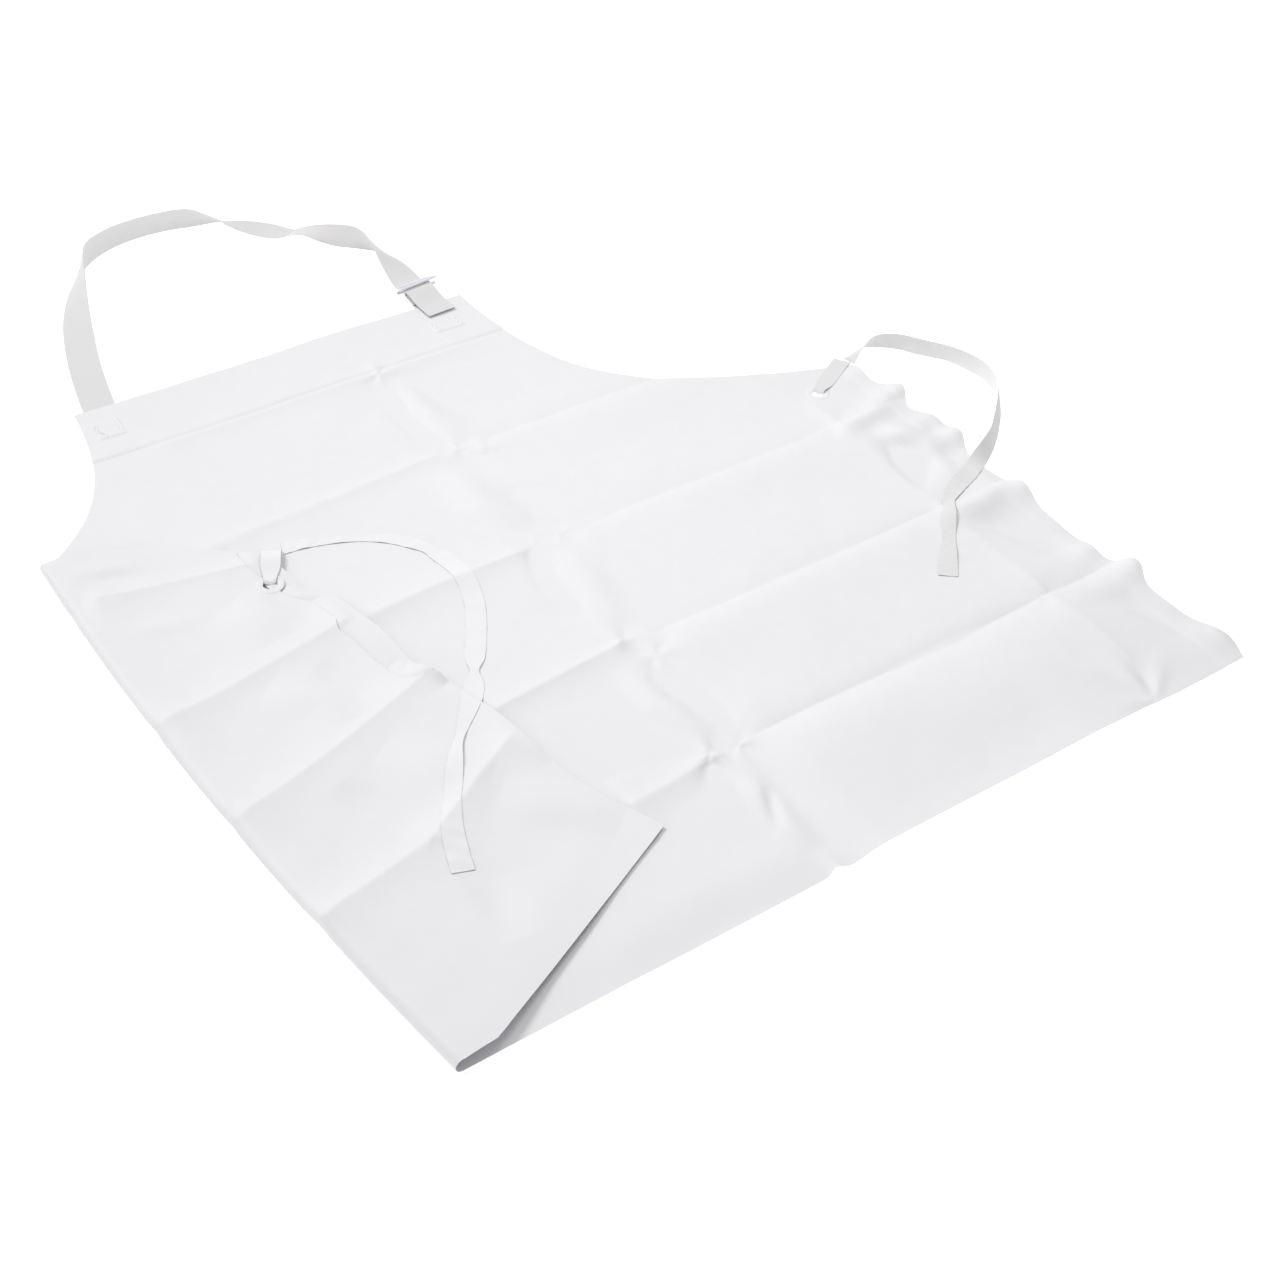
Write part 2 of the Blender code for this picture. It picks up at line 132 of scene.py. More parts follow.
TIE_LEFT_ROUTE = [
    (-151, 161, 4, 0), (-133, 158, 4.6, -10), (-112, 151, 6.7, -24), (-90, 142, 8.0, -32),
    (-67, 131, 8.8, -36), (-46, 117, 8.5, -34), (-28, 99, 7.8, -30), (-15, 77, 6.2, -20),
    (-7, 53, 4.6, -10), (-3, 27, 3.6, 0), (-4, 0, 3.2, 0), (-10, -27, 3.2, 0),
    (-20, -52, 3.4, 0), (-33, -77, 4, 0), (-47, -101, 5.4, 0), (-61, -126, 7.4, 0),
    (-75, -150, 9.4, 0), (-91, -172, 10, 0), (-108, -192, 10, 0), (-125, -213, 9.8, 0),
    (-140, -236, 9.6, 0), (-154, -260, 9.6, 0), (-168, -284, 9.6, 0), (-180, -308, 9.8, 0),
    (-188, -332, 10, 0), (-194, -356, 10.2, 0),
]

# The short webbing doubled round the buckle's bar, given by its y and height.
ANCHOR_ROUTE = [(220, y, z, 0) for y, z in (
    (462, 0.6), (500, 0.6), (536, 0.6), (548, 1.3), (555, 2.6), (559.5, 3.3), (563.5, 3.5),
    (566.3, 4.6), (567.3, 6.75), (566.3, 9), (563.2, 10.05), (560.2, 9.9), (557.6, 8.4),
    (556.2, 6.6), (553.2, 4.6), (548, 3.1), (541, 2.4))]

# How the ties twist: share of the length, and tilt in degrees.
TIE_RIGHT_TWISTS = [
    (0, 0), (0.04, -40), (0.08, -80), (0.16, -98), (0.24, -92), (0.3, -100), (0.38, -88),
    (0.44, -72), (0.5, -58), (0.56, -62), (0.62, -40), (0.66, -12), (0.7, 0), (0.74, 8),
    (0.79, 16), (0.84, 24), (0.89, 8), (0.94, 16), (1, 4),
]
TIE_LEFT_TWISTS = [
    (0, 0), (0.05, 8), (0.2, 8), (0.26, 14), (0.3, 4), (0.42, 6), (0.52, 2), (0.56, 10),
    (0.585, 14), (0.61, 8), (0.65, -4), (0.7, -8), (0.74, 14), (0.78, 18), (0.83, 8),
    (0.9, -6), (0.95, 4), (1, 6),
]
# Where they are gathered: mm along the tie, mm it takes, and the share of the width left.
TIE_RIGHT_PINCHES = [(18, 20, 0.55), (305, 30, 0.75), (492, 26, 0.6), (552, 30, 0.66)]
TIE_LEFT_PINCHES = [(75, 60, 0.5), (168, 14, 0.7), (385, 12, 0.42), (485, 34, 0.45), (560, 40, 0.8)]


# --- small helpers ---
def mix(a, b, t):
    return a + (b - a) * t


def ease(t):
    t = np.clip(t, 0.0, 1.0)
    return t * t * (3 - 2 * t)


def unit(vectors):
    return vectors / np.linalg.norm(vectors, axis=-1, keepdims=True)


def run_of(points):
    """Length along a chain of points, up to each of them."""
    return np.concatenate([[0], np.cumsum(np.linalg.norm(np.diff(points, axis=0), axis=1))])


def bell(distance, width):
    return np.exp(-((distance / width) ** 2))


def fading(distance, reach):
    """1 at an edge and outside it, falling away inside it over `reach` mm."""
    return np.exp(-np.clip(distance, 0, None) / reach)


def through(points, count):
    """Points on a smooth curve through the given ones, count to each span."""
    points = [np.array(p, float) for p in points]
    curve = []
    for i in range(len(points) - 1):
        p0, p1 = points[max(i - 1, 0)], points[i]
        p2, p3 = points[i + 1], points[min(i + 2, len(points) - 1)]
        for k in range(count):
            t = k / count
            curve.append(
                0.5 * (2 * p1 + (p2 - p0) * t + (2 * p0 - 5 * p1 + 4 * p2 - p3) * t**2
                       + (3 * p1 - p0 - 3 * p2 + p3) * t**3))
    curve.append(points[-1])
    return np.array(curve)


def cubic(points, t):
    """Points of a cubic curve given by its four control points."""
    p0, p1, p2, p3 = (np.array(p, float) for p in points)
    t = np.asarray(t, float)[..., None]
    return p0 * (1 - t) ** 3 + 3 * p1 * t * (1 - t) ** 2 + 3 * p2 * t**2 * (1 - t) + p3 * t**3


def ripple(x, y, scale, seed, waves=7):
    """Gentle random unevenness, about -1 to 1, made of a few plane waves."""
    rng = np.random.default_rng(seed)
    total = np.zeros(np.shape(x))
    for _ in range(waves):
        angle, phase = rng.uniform(0, 2 * math.pi, 2)
        length = scale * rng.uniform(0.7, 1.6)
        total = total + np.sin((x * math.cos(angle) + y * math.sin(angle)) / length * FULL_TURN
                               + phase)
    return total / math.sqrt(waves)


def placed(name, data):
    obj = bpy.data.objects.new(name, data)
    bpy.context.scene.collection.objects.link(obj)
    return obj


def coat(material, *pieces):
    for piece in pieces:
        piece.data.materials.append(material)


def mesh_object(name, points, faces, flat=None):
    mesh = bpy.data.meshes.new(name)
    mesh.from_pydata([tuple(p) for p in points], [], faces)
    mesh.shade_smooth()
    if flat is not None:
        layer = mesh.uv_layers.new(name="flat")
        corners = np.empty(len(mesh.loops), np.int32)
        mesh.loops.foreach_get("vertex_index", corners)
        layer.data.foreach_set("uv", np.asarray(flat, np.float32)[corners].ravel())
    return placed(name, mesh)


# --- the cloth's outline and fold ---
# Millimetres in sheet coordinates.
HALF = 533.5
ARMHOLE_RIGHT = [(266, 533.5), (276, 265), (350, 210), (616, 112)]
ARMHOLE_LEFT = [(-266, 533.5), (-272, 420), (-290, 330), (-391, 264)]
FOLD_TOP = np.array((-391.0, 264.0))
FOLD_BOTTOM = np.array((-294.0, -533.5))
FOLD_BOW = 16
HINGE_IN = 10
CREASES = {"a": 418, "b": 225, "c": 14, "d": -174, "e": -355}
LONG_CREASE_RIGHT = 517
WAIST_RIGHT = 112      # y where the right armhole ends
HEM_LINE = 424         # y where the bib's turned hem ends
NOTCH_AT = 98          # x of the small notch in the skirt's hem
SIDE_AT = 618          # x that the wavy right side keeps to
EYELET_RIGHT = (536, 85)
EYELET_LEFT = (-187, 108)
EYELET_CUT = 11.5

fold_chord = FOLD_TOP - FOLD_BOTTOM
fold_along = fold_chord / np.linalg.norm(fold_chord)
fold_across = np.array((fold_along[1], -fold_along[0]))


def armhole(points, y):
    curve = cubic(points, np.linspace(0, 1, 200))
    return np.interp(y, curve[::-1, 1], curve[::-1, 0])


def right_edge(y):
    """Right boundary of the sheet: armhole above the waist, wavy side below it."""
    stops = [-533.5, -505, -455, -405, -374, -342, -313, -250, -199, -150, -110, -78, -34, 0,
             34, 70, 112]
    sides = [619, 627, 614, 612, 624, 611, 610, 611, 620, 611, 614, 627, 624, 612, 628, 611, 616]
    side = through(list(zip(stops, sides)), 8)
    below = np.interp(y, side[:, 0], side[:, 1])
    return np.where(y > WAIST_RIGHT, armhole(ARMHOLE_RIGHT, y), below)


def fold_share(y):
    """Share up the left fold, from its foot at the hem to its top at the waist."""
    return np.clip((y + HALF) / (FOLD_TOP[1] + HALF), 0, 1)


def fold_radius(t):
    return 5.2 + 2.8 * (1 - ease(t / 0.3)) + 1.0 * ease((t - 0.7) / 0.3)


def fold_x(t):
    bulge = FOLD_BOW * 4 * t * (1 - t)
    notch = sum(bell(t - at, 0.012) for at in (0.24, 0.43, 0.62, 0.88))
    return mix(FOLD_BOTTOM[0], FOLD_TOP[0], t) - bulge + 0.8 * notch


def left_edge(y):
    """Left boundary of the lower layer: armhole, then the inside of the fold."""
    t = fold_share(y)
    return np.where(y > FOLD_TOP[1], armhole(ARMHOLE_LEFT, y), fold_x(t) + fold_radius(t))


# --- heights of the lower layer ---
def along(x, y, points):
    """Signed distance from a chain of points (positive on its left) and share along it."""
    best = np.full(np.shape(x), 1e9)
    side = np.zeros(np.shape(x))
    share = np.zeros(np.shape(x))
    lengths = [math.dist(a, b) for a, b in zip(points, points[1:])]
    done = 0.0
    for (a, b), length in zip(zip(points, points[1:]), lengths):
        ux, uy = (b[0] - a[0]) / length, (b[1] - a[1]) / length
        s = np.clip((x - a[0]) * ux + (y - a[1]) * uy, 0, length)
        dx, dy = x - (a[0] + ux * s), y - (a[1] + uy * s)
        distance = np.hypot(dx, dy)
        near = distance < best
        best = np.where(near, distance, best)
        side = np.where(near, np.sign(ux * dy - uy * dx), side)
        share = np.where(near, (done + s) / sum(lengths), share)
        done += length
    return best * side, share


def ridge(x, y, points, height, left, right, fade=0.15):
    """Sharp crease along a chain: falls away over `left` and `right` mm on its sides."""
    d, share = along(x, y, points)
    ends = ease(share / fade) * ease((1 - share) / fade) if fade else 1.0
    return RELIEF * height * ends * np.exp(-np.abs(d) / np.where(d > 0, left, right))


def swell(x, y, points, height, width):
    """Rounded fold, or hollow where the height is negative, along a chain."""
    d, share = along(x, y, points)
    return RELIEF * height * np.sin(np.pi * np.clip(share, 0, 1)) * bell(d, width)


def star(x, y, at, height, reach, arms, turn):
    """Pinched point with folds running out from it."""
    dx, dy = x - at[0], y - at[1]
    r = np.hypot(dx, dy) + 1e-6
    angle = np.arctan2(dy, dx)
    folds = np.cos(arms * angle + turn) * (r / reach)
    return PINCH_RELIEF * height * np.exp(-r / reach) * (1 + 1.6 * folds)


def pleat(x, y, points, height, below, above, fade=0.1):
    """Pressed valley along a chain: the cloth rises from it on both sides and falls off again.

    height is reached `below` mm to the chain's right, and a third of it `above` mm to its left.
    """
    d, share = along(x, y, points)
    ends = ease(share / fade) * ease((1 - share) / (fade * 0.4))
    u = np.abs(d) / np.where(d > 0, above, below)
    return height * ends * np.where(d > 0, 0.33, 1.0) * u * np.exp(1 - u)


def ground(x, y):
    """Height of the lower layer's middle surface above the table."""
    x, y = np.asarray(x, float), np.asarray(y, float)
    a, b, c, d, e = (CREASES[k] for k in "abcde")
    h = 0.5 + 0 * x
    h = h + 1.8 * ease((y - HEM_LINE) / 6)
    h = h + 0.9 * ease((x - 590) / 6) * (y < 105)
    # pressed creases across the apron
    h = h + ridge(x, y, [(-250, a), (265, a)], 1.6, 14, 18)
    h = h + pleat(x, y, [(101, b), (520, b - 2)], 2.6, 30, 30)
    h = h + ridge(x, y, [(-340, b - 30), (101, b)], 2.2, 16, 14, 0.1)
    h = h + pleat(x, y, [(101, c + 6), (300, c + 5), (640, c + 4)], 2.6, 26, 30)
    h = h + ridge(x, y, [(-132, c - 8), (88, c - 2)], 3.6, 22, 18, 0.12)
    h = h + pleat(x, y, [(108, d), (640, d)], 3.6, 28, 26)
    h = h + ridge(x, y, [(-82, d - 14), (101, d)], 3.4, 20, 18, 0.1)
    h = h + pleat(x, y, [(104, e + 2), (640, e + 2)], 9.0, 56, 26)
    h = h + ridge(x, y, [(-30, e - 14), (95, e - 2)], 3.6, 22, 22, 0.1)
    return h


def piled(h, shape, x, y, rows):
    """h with one such shape added for each row of its numbers."""
    for row in rows:
        h = h + shape(x, y, *row)
    return h


# Hollows and swellings along the long crease, and one to its left: chain, height, width.
LONG_CREASE_SWELLS = [
    ([(84, 402), (76, 330), (80, 270), (100, 223)], -4.5, 11),
    ([(104, 400), (104, 320), (122, 232)], 2.6, 16),
    ([(113, 128), (131, 80), (128, 26)], -5.0, 10),
    ([(70, 200), (78, 110), (104, 40)], 4.4, 22),
    ([(88, 20), (74, -46), (71, -118)], -4.2, 11),
    ([(110, 0), (112, -70), (100, -150)], 3.0, 20),
    ([(88, -224), (110, -277), (116, -334)], -5.5, 11),
    ([(70, -200), (74, -270), (92, -338)], 4.2, 18),
    ([(75, -348), (60, -404), (56, -460)], -5.5, 10),
    ([(98, -364), (90, -420), (96, -500)], 4.0, 15),
    ([(100, -414), (90, -440), (80, -466)], -3.0, 6),
    ([(-14, -240), (-24, -290), (-20, -335)], -3.2, 16),
]
# Pinched points at and near the crossings: place, height, reach, arms, turn.
CROSSINGS = [
    ((88, 414), 2.6, 13, 4, 0.6), ((101, 223), 3.6, 12, 3, 1.4), ((128, 205), 2.4, 10, 4, 0.2),
    ((127, 23), 3.4, 9, 3, 0.4), ((92, 18), 3.2, 9, 3, 2.6), ((90, -168), 3.0, 11, 3, 1.0),
    ((110, -206), 2.8, 12, 4, 0.5), ((75, -352), 3.6, 10, 3, 2.2), ((110, -356), 3.2, 10, 3, 0.2),
    ((512, 14), 1.2, 16, 4, 0.6), ((517, -176), 1.2, 16, 4, 1.2), ((514, -356), 1.4, 18, 4, 0.3),
]
# Soft folds of the skirt's right-hand part: chain, height, width.
SKIRT_SWELLS = [
    ([(536, 4), (548, -60), (520, -150)], -3.4, 13),
    ([(556, -6), (584, -70), (560, -160)], 3.4, 15),
    ([(530, -196), (560, -250), (588, -330)], -3.0, 14),
    ([(540, -376), (578, -410), (606, -480)], -3.4, 16),
]
# Folds that run in from the ruffled right side: chain, height, width.
SIDE_SWELLS = [
    ([(612, 30), (560, 8), (500, 4)], 5, 16),
    ([(606, -110), (560, -84), (524, -64)], -3.2, 20),
    ([(612, -170), (560, -196), (505, -190)], 4.6, 18),
    ([(600, -60), (560, -40), (520, -20)], 3.4, 16),
]
# Ruffles of the right side, with the stood-up pocket at 33: y, height, width.
RUFFLES = [
    (92, 4, 14), (33, 11, 17), (-34, 4, 14), (-78, 10, 15), (-138, 2, 20), (-199, 9, 19),
    (-262, 3, 20), (-322, 7, 15), (-373, 13, 20), (-440, 2, 20), (-500, 6, 22),
]
# Fan of folds at the hem below the right-hand long crease: length, bearing, height.
FAN_AT = (497, -531)
FAN = [(64, 158, 1.8), (72, 118, -1.8), (88, 92, 2.4), (84, 66, -2.0), (92, 40, 2.2)]


def creased_ground(x, y):
    """The lower layer with its long creases, puckers and lifted edges."""
    x, y = np.asarray(x, float), np.asarray(y, float)
    h = ground(x, y)
    h = piled(h, swell, x, y, LONG_CREASE_SWELLS)
    h = piled(h, star, x, y, CROSSINGS)
    for reach, bearing, height in FAN:
        tip = (FAN_AT[0] + reach * math.cos(math.radians(bearing)),
               FAN_AT[1] + reach * math.sin(math.radians(bearing)))
        d, share = along(x, y, [FAN_AT, tip])
        width = 4 + 14 * share
        h = h + height * bell(d, width) * ease(share / 0.2) * ease((1 - share) / 0.7)
    h = piled(h, swell, x, y, SKIRT_SWELLS)
    # long crease near the right side
    h = h + ridge(
        x, y, [(LONG_CREASE_RIGHT, WAIST_RIGHT), (LONG_CREASE_RIGHT, -520)], 1.5, 20, 16, 0.1)
    near = fading(SIDE_AT - x, 26)
    for at, height, width in RUFFLES:
        h = h + height * near * bell(y - at, width)
    h = piled(h, swell, x, y, SIDE_SWELLS)
    # hem: lifted right of the notch, rolled down left of it
    hem = y + HALF
    lift = ease((x - 108) / 40) * (1 - 0.6 * ease((x - 400) / 90))
    h = h + 5.0 * lift * fading(hem, 30)
    h = h + 2.6 * (1 - ease((x - 60) / 50)) * bell(hem - 40, 30)
    h = h + 3.2 * fading(hem, 16) * bell(x - NOTCH_AT, 7)
    # broad unevenness
    h = h + 1.1 * ripple(x, y, 210, 3) + 0.22 * ripple(x, y, 84, 5)
    h = h + 0.03 * ripple(x, y, 30, 9)
    return np.maximum(h, 0.3 + 0.25 * np.exp(np.clip(h - 0.3, -20, 0)))


# --- the turned-over side ---
# Outer edge of the turned side: share up the fold, x and y.
SIDE_STOPS = [
    (0.0, -9, -405), (0.06, -24, -372), (0.13, -41, -338), (0.185, -57, -284),
    (0.241, -66, -226), (0.30, -74, -182), (0.36, -88, -136), (0.427, -99, -108),
    (0.47, -110, -90), (0.53, -114, -56), (0.58, -119, -16), (0.62, -126, 14),
    (0.70, -136, 62), (0.78, -154, 84), (0.877, -166, 128), (0.94, -172, 154), (1.0, -178, 171),
]
STRIP_FROM, STRIP_TO = -2.0, 32.0
FOLD_ROWS, ROLL_STEPS, STRIP_STEPS, FLAP_STEPS = 320, 26, 12, 96
# Share up the fold, and mm by which the cloth's own edge lies inside the tape's outer edge.
MARGIN_STOPS = [(0.0, 0), (0.405, 0), (0.425, 4), (0.44, 18), (0.47, 24), (0.53, 28), (0.575, 30),
                (0.61, 32), (0.63, 25), (0.70, 25), (0.78, 25), (0.84, 27), (0.90, 31),
                (0.95, 28), (1.0, 22)]


def side_point(t):
    """Outer edge of the turned-over side, tape included."""
    curve = through(SIDE_STOPS, 6)
    return np.interp(t, curve[:, 0], curve[:, 1]), np.interp(t, curve[:, 0], curve[:, 2])


def margin(t):
    return np.interp(t, [m[0] for m in MARGIN_STOPS], [m[1] for m in MARGIN_STOPS])


def inward(t, far):
    """Point `far` mm inside the outer edge, towards the fold."""
    x0, y0 = line_point(t, STRIP_TO)
    x1, y1 = side_point(t)
    reach = np.hypot(x0 - x1, y0 - y1)
    return x1 + (x0 - x1) / reach * far, y1 + (y0 - y1) / reach * far


def line_point(t, off):
    """Point of a straight line along the fold, `off` mm on the inner side of the hinge."""
    x = mix(FOLD_BOTTOM[0], FOLD_TOP[0], t) + HINGE_IN + off * fold_across[0]
    y = mix(FOLD_BOTTOM[1], FOLD_TOP[1], t) + off * fold_across[1]
    return x, y


def flap_spot(a, t):
    """Plan position on the turned-over side: a from strip's end to side edge, t up the fold."""
    x0, y0 = line_point(t, STRIP_TO)
    x1, y1 = inward(t, margin(t))
    bow = 9 * np.sin(np.pi * a) * ease((t - 0.86) / 0.14)
    return mix(x0, x1, a) + bow * 0.4, mix(y0, y1, a) + bow


# Pressed creases of the turned side: chain, height, falls to left and right, fade.
FLAP_RIDGES = [
    ([(-372, 180), (-290, 168), (-176, 146)], 3.2, 12, 26, 0.1),
    ([(-372, -40), (-250, -14), (-128, 12)], 4.0, 26, 30, 0.1),
    ([(-352, -196), (-230, -156), (-100, -108)], 4.6, 24, 36, 0.1),
    ([(-334, -345), (-203, -309), (-64, -226)], 6.0, 22, 44, 0.08),
]
# Its soft folds: chain, height, width.
FLAP_SWELLS = [
    ([(-240, 100), (-220, 60), (-214, 20)], 2.4, 26),
    ([(-196, 96), (-176, 56), (-168, 20)], -2.2, 16),
    ([(-252, -40), (-210, -84), (-196, -130)], 2.6, 24),
    ([(-196, -36), (-176, -80), (-160, -112)], -2.4, 15),
    ([(-190, -178), (-150, -230), (-110, -262)], 3.0, 30),
    ([(-248, -200), (-222, -250), (-204, -292)], -2.6, 18),
    ([(-190, -340), (-180, -380), (-186, -450)], -2.6, 20),
    ([(-120, -290), (-80, -330), (-40, -380)], 3.0, 26),
]
# Its folds near the top of the left fold, then along its free side.
FLAP_EDGE_SWELLS = [
    ([(-360, 120), (-310, 104), (-258, 92)], 1.2, 15),
    ([(-372, 232), (-330, 226), (-286, 206)], 1.1, 11),
    ([(-372, 214), (-330, 205), (-290, 190)], -0.9, 11),
    # the free side stands off the lower layer in places
    ([(-140, 60), (-108, -60), (-90, -130)], 5.5, 22),
    ([(-118, -86), (-100, -108), (-92, -128)], 4.5, 12),
    ([(-190, 178), (-166, 140), (-150, 90)], 3.5, 16),
    ([(-84, -170), (-66, -226), (-58, -280)], 3.0, 16),
]


def top_height(x, y, t):
    """Height of the upper layer over a plan position."""
    q = (x - fold_x(t)) - fold_radius(t)
    reach = 42 + 90 * (1 - ease(t / 0.30)) + 26 * ease((t - 0.8) / 0.2)
    drop = np.exp(-((np.clip(q, 0, None) / reach) ** 1.6))
    low = 3.4 + 0.6 * (1 - ease(t / 0.2))
    h = mix(low, 2 * fold_radius(t) + 0.5, drop)
    h = piled(h, ridge, x, y, FLAP_RIDGES)
    h = piled(h, swell, x, y, FLAP_SWELLS)
    h = h + star(x, y, (-203, -309), 1.4, 10, 3, 0.5)
    h = piled(h, swell, x, y, FLAP_EDGE_SWELLS)
    h = h + 0.8 * ripple(x, y, 170, 21) + 0.2 * ripple(x, y, 76, 22)
    h = h + 0.03 * ripple(x, y, 26, 23)
    return h


def over(h, low, soft=1.2):
    """h, kept smoothly above low."""
    return low + np.logaddexp(0, (h - low) / soft) * soft


def upper_height(x, y, t):
    """Height of the upper layer, kept above what it lies on."""
    return over(top_height(x, y, t), creased_ground(x, y) * UNDER_FLAP + 1.6)


def flap_grid(t, columns):
    """Upper layer's points for fold shares t: roll, hinge strip and flap in one grid."""
    t = t[:, None] + 0 * columns[None, :]
    k = columns[None, :] + 0 * t
    radius, x_out = fold_radius(t), fold_x(t)
    swing = radius * (1 + 4 * t * (1 - t))      # the roll is wider than it is high
    y_fold = mix(FOLD_BOTTOM[1], FOLD_TOP[1], t)
    # k runs 0..1 round the roll, 1..2 up to the strip, 2..3 over it, 3..4 over the flap
    turn = np.clip(k, 0, 1) * math.pi
    roll_x = x_out + swing - swing * np.sin(turn)
    roll_z = 0.5 + 2 * radius * (0.5 - 0.5 * np.cos(turn)) ** ROLL_SAG
    x2, y2 = line_point(t, STRIP_FROM)
    x3, y3 = line_point(t, STRIP_TO)
    xf, yf = flap_spot(np.clip(k - 3, 0, 1), t)
    s1, s2 = np.clip(k - 1, 0, 1), np.clip(k - 2, 0, 1)
    zones = [k <= 1, k <= 2, k <= 3]
    x = np.select(zones, [roll_x, mix(x_out + swing, x2, s1), mix(x2, x3, s2)], xf)
    y = np.select(zones, [y_fold, mix(y_fold, y2, s1), mix(y2, y3, s2)], yf)
    crest = upper_height(x_out + swing, y_fold, t) - (2 * radius + 0.5)
    z = np.where(k <= 1, roll_z + crest * ease(k), upper_height(x, y, t))
    return x, y, z


# --- meshes of cloth ---
def grid_normals(points):
    across = np.gradient(points, axis=1)
    up = np.gradient(points, axis=0)
    normals = np.cross(across, up)
    return normals / np.maximum(np.linalg.norm(normals, axis=2, keepdims=True), 1e-12)


def cloth_object(name, points, normals, flat, thickness=0.5, closed=(1, 1, 1, 1), keep=None):
    """Cloth of real thickness from a grid of points in mm.

    closed says which edges are real ones: first row, last row, first column, last column.
    keep, if given, says for each face whether the cloth is there.
    """
    rows, cols = points.shape[:2]
    top = (points + normals * thickness / 2).reshape(-1, 3)
    bottom = (points - normals * thickness / 2).reshape(-1, 3)
    n = rows * cols
    index = np.arange(n).reshape(rows, cols)
    a, b = index[:-1, :-1].ravel(), index[:-1, 1:].ravel()
    c, d = index[1:, 1:].ravel(), index[1:, :-1].ravel()
    if keep is not None:
        a, b, c, d = (side[keep.ravel()] for side in (a, b, c, d))
    facing = np.einsum("ijk,ijk->", grid_normals(points), normals)
    if facing < 0:
        a, b, c, d = d, c, b, a
    faces = np.concatenate([np.stack([a, b, c, d], 1), np.stack([d, c, b, a], 1) + n])
    every = np.concatenate([normals.reshape(-1, 3), -normals.reshape(-1, 3)])
    quads, facings = [faces], [every[faces]]
    edges = ((index[0], index[1]), (index[-1], index[-2]),
             (index[:, 0], index[:, 1]), (index[:, -1], index[:, -2]))
    for real, (line, inner) in zip(closed, edges):
        if not real:
            continue
        out = top[line] - top[inner]
        out -= every[line] * np.sum(out * every[line], axis=1, keepdims=True)
        out /= np.maximum(np.linalg.norm(out, axis=1, keepdims=True), 1e-9)
        outs = np.stack([out[:-1], out[1:], out[1:], out[:-1]], 1)
        rim = np.stack([line[:-1], line[1:], line[1:] + n, line[:-1] + n], 1)
        turn = np.cross(top[line[1]] - top[line[0]], bottom[line[0]] - top[line[0]]) @ out[0]
        quads.append(rim if turn > 0 else rim[:, ::-1])
        facings.append(outs if turn > 0 else outs[:, ::-1])
    verts = np.concatenate([top, bottom]) * MM + np.array(middle)
    obj = mesh_object(
        name, verts, np.concatenate(quads).tolist(), np.concatenate([flat.reshape(-1, 2)] * 2))
    obj.data.normals_split_custom_set(np.concatenate(facings).reshape(-1, 3).tolist())
    return obj


def level_cloth(name, x, y, z, thickness=0.5, keep=None):
    """Cloth whose pattern is laid out by its place on the sheet."""
    points = np.stack([x, y, z], 2)
    flat = np.stack([x, y], 2) * MM
    return cloth_object(name, points, grid_normals(points), flat, thickness, keep=keep)


def outside_hole(x, y, eyelet):
    """For each face of a grid, whether its middle lies outside the eyelet's hole."""
    across = (x[:-1, :-1] + x[1:, 1:]) / 2 - eyelet[0]
    up = (y[:-1, :-1] + y[1:, 1:]) / 2 - eyelet[1]
    return np.hypot(across, up) > EYELET_CUT


def row_stations():
    """Heights of the rows across the sheet, closer together beside the pressed creases."""
    marks = np.array(list(CREASES.values()) + [-177, -357, -188, HEM_LINE, -HALF + 4])
    fine = np.linspace(-HALF, HALF, 4000)
    gap = 5.6 - 3.9 * np.max(bell(fine[:, None] - marks, 11), axis=1)
    count = np.concatenate([[0], np.cumsum(np.diff(fine) / gap[1:])])
    return np.interp(np.linspace(0, count[-1], int(count[-1]) + 1), count, fine)


def lower_cloth():
    y = row_stations()
    share = np.linspace(0, 1, 270)
    share = share - 0.012 * np.sin(2 * math.pi * share)
    left, right = left_edge(y)[:, None], right_edge(y)[:, None]
    x = mix(left, right, share[None, :])
    y = y[:, None] + 0 * x
    # the hem's notch and the top edge's slight sag
    low_edge = fading(y + HALF, 10)
    y = y + low_edge * (5.0 * bell(x - NOTCH_AT, 9) - 2.0 * ease((x - 470) / 60))
    y = y + fading(HALF - y, 20) * 1.2 * ripple(x, x * 0, 240, 31, 4)
    t = fold_share(y)
    z = creased_ground(x, y)
    covered = (y < FOLD_TOP[1] + 12) * ease((fold_x(t) + 60 - x) / 50)
    z = mix(z, 0.5, covered)
    return level_cloth("cloth_lower", x, y, z, keep=outside_hole(x, y, EYELET_RIGHT))


def upper_cloth():
    """Fold roll, hinge strip and flap: one surface in three pieces that meet exactly."""
    t = np.linspace(0, 1, FOLD_ROWS)
    columns = np.concatenate([
        np.linspace(0, 1, ROLL_STEPS), np.linspace(1, 2, 5)[1:],
        np.linspace(2, 3, STRIP_STEPS)[1:], np.linspace(3, 4, FLAP_STEPS)[1:]])
    x, y, z = flap_grid(t, columns)
    points = np.stack([x, y, z], 2)
    normals = grid_normals(points)
    run = np.cumsum(np.concatenate(
        [np.zeros((len(t), 1)), np.linalg.norm(np.diff(points, axis=1), axis=2)], axis=1), axis=1)
    flat = np.stack([-300 - run, y], 2) * MM
    ends = [0, ROLL_STEPS + 3, ROLL_STEPS + 3 + STRIP_STEPS - 1, len(columns) - 1]
    made = []
    for i, name in enumerate(("cloth_fold", "cloth_turn", "cloth_flap")):
        part = slice(ends[i], ends[i + 1] + 1)
        p, n, f = points[:, part], normals[:, part], flat[:, part]
        keep = None
        if name == "cloth_flap":
            keep = outside_hole(p[:, :, 0], p[:, :, 1], EYELET_LEFT)
        made.append(cloth_object(name, p, n, f, closed=(1, 1, 0, i == 2), keep=keep))
    return made


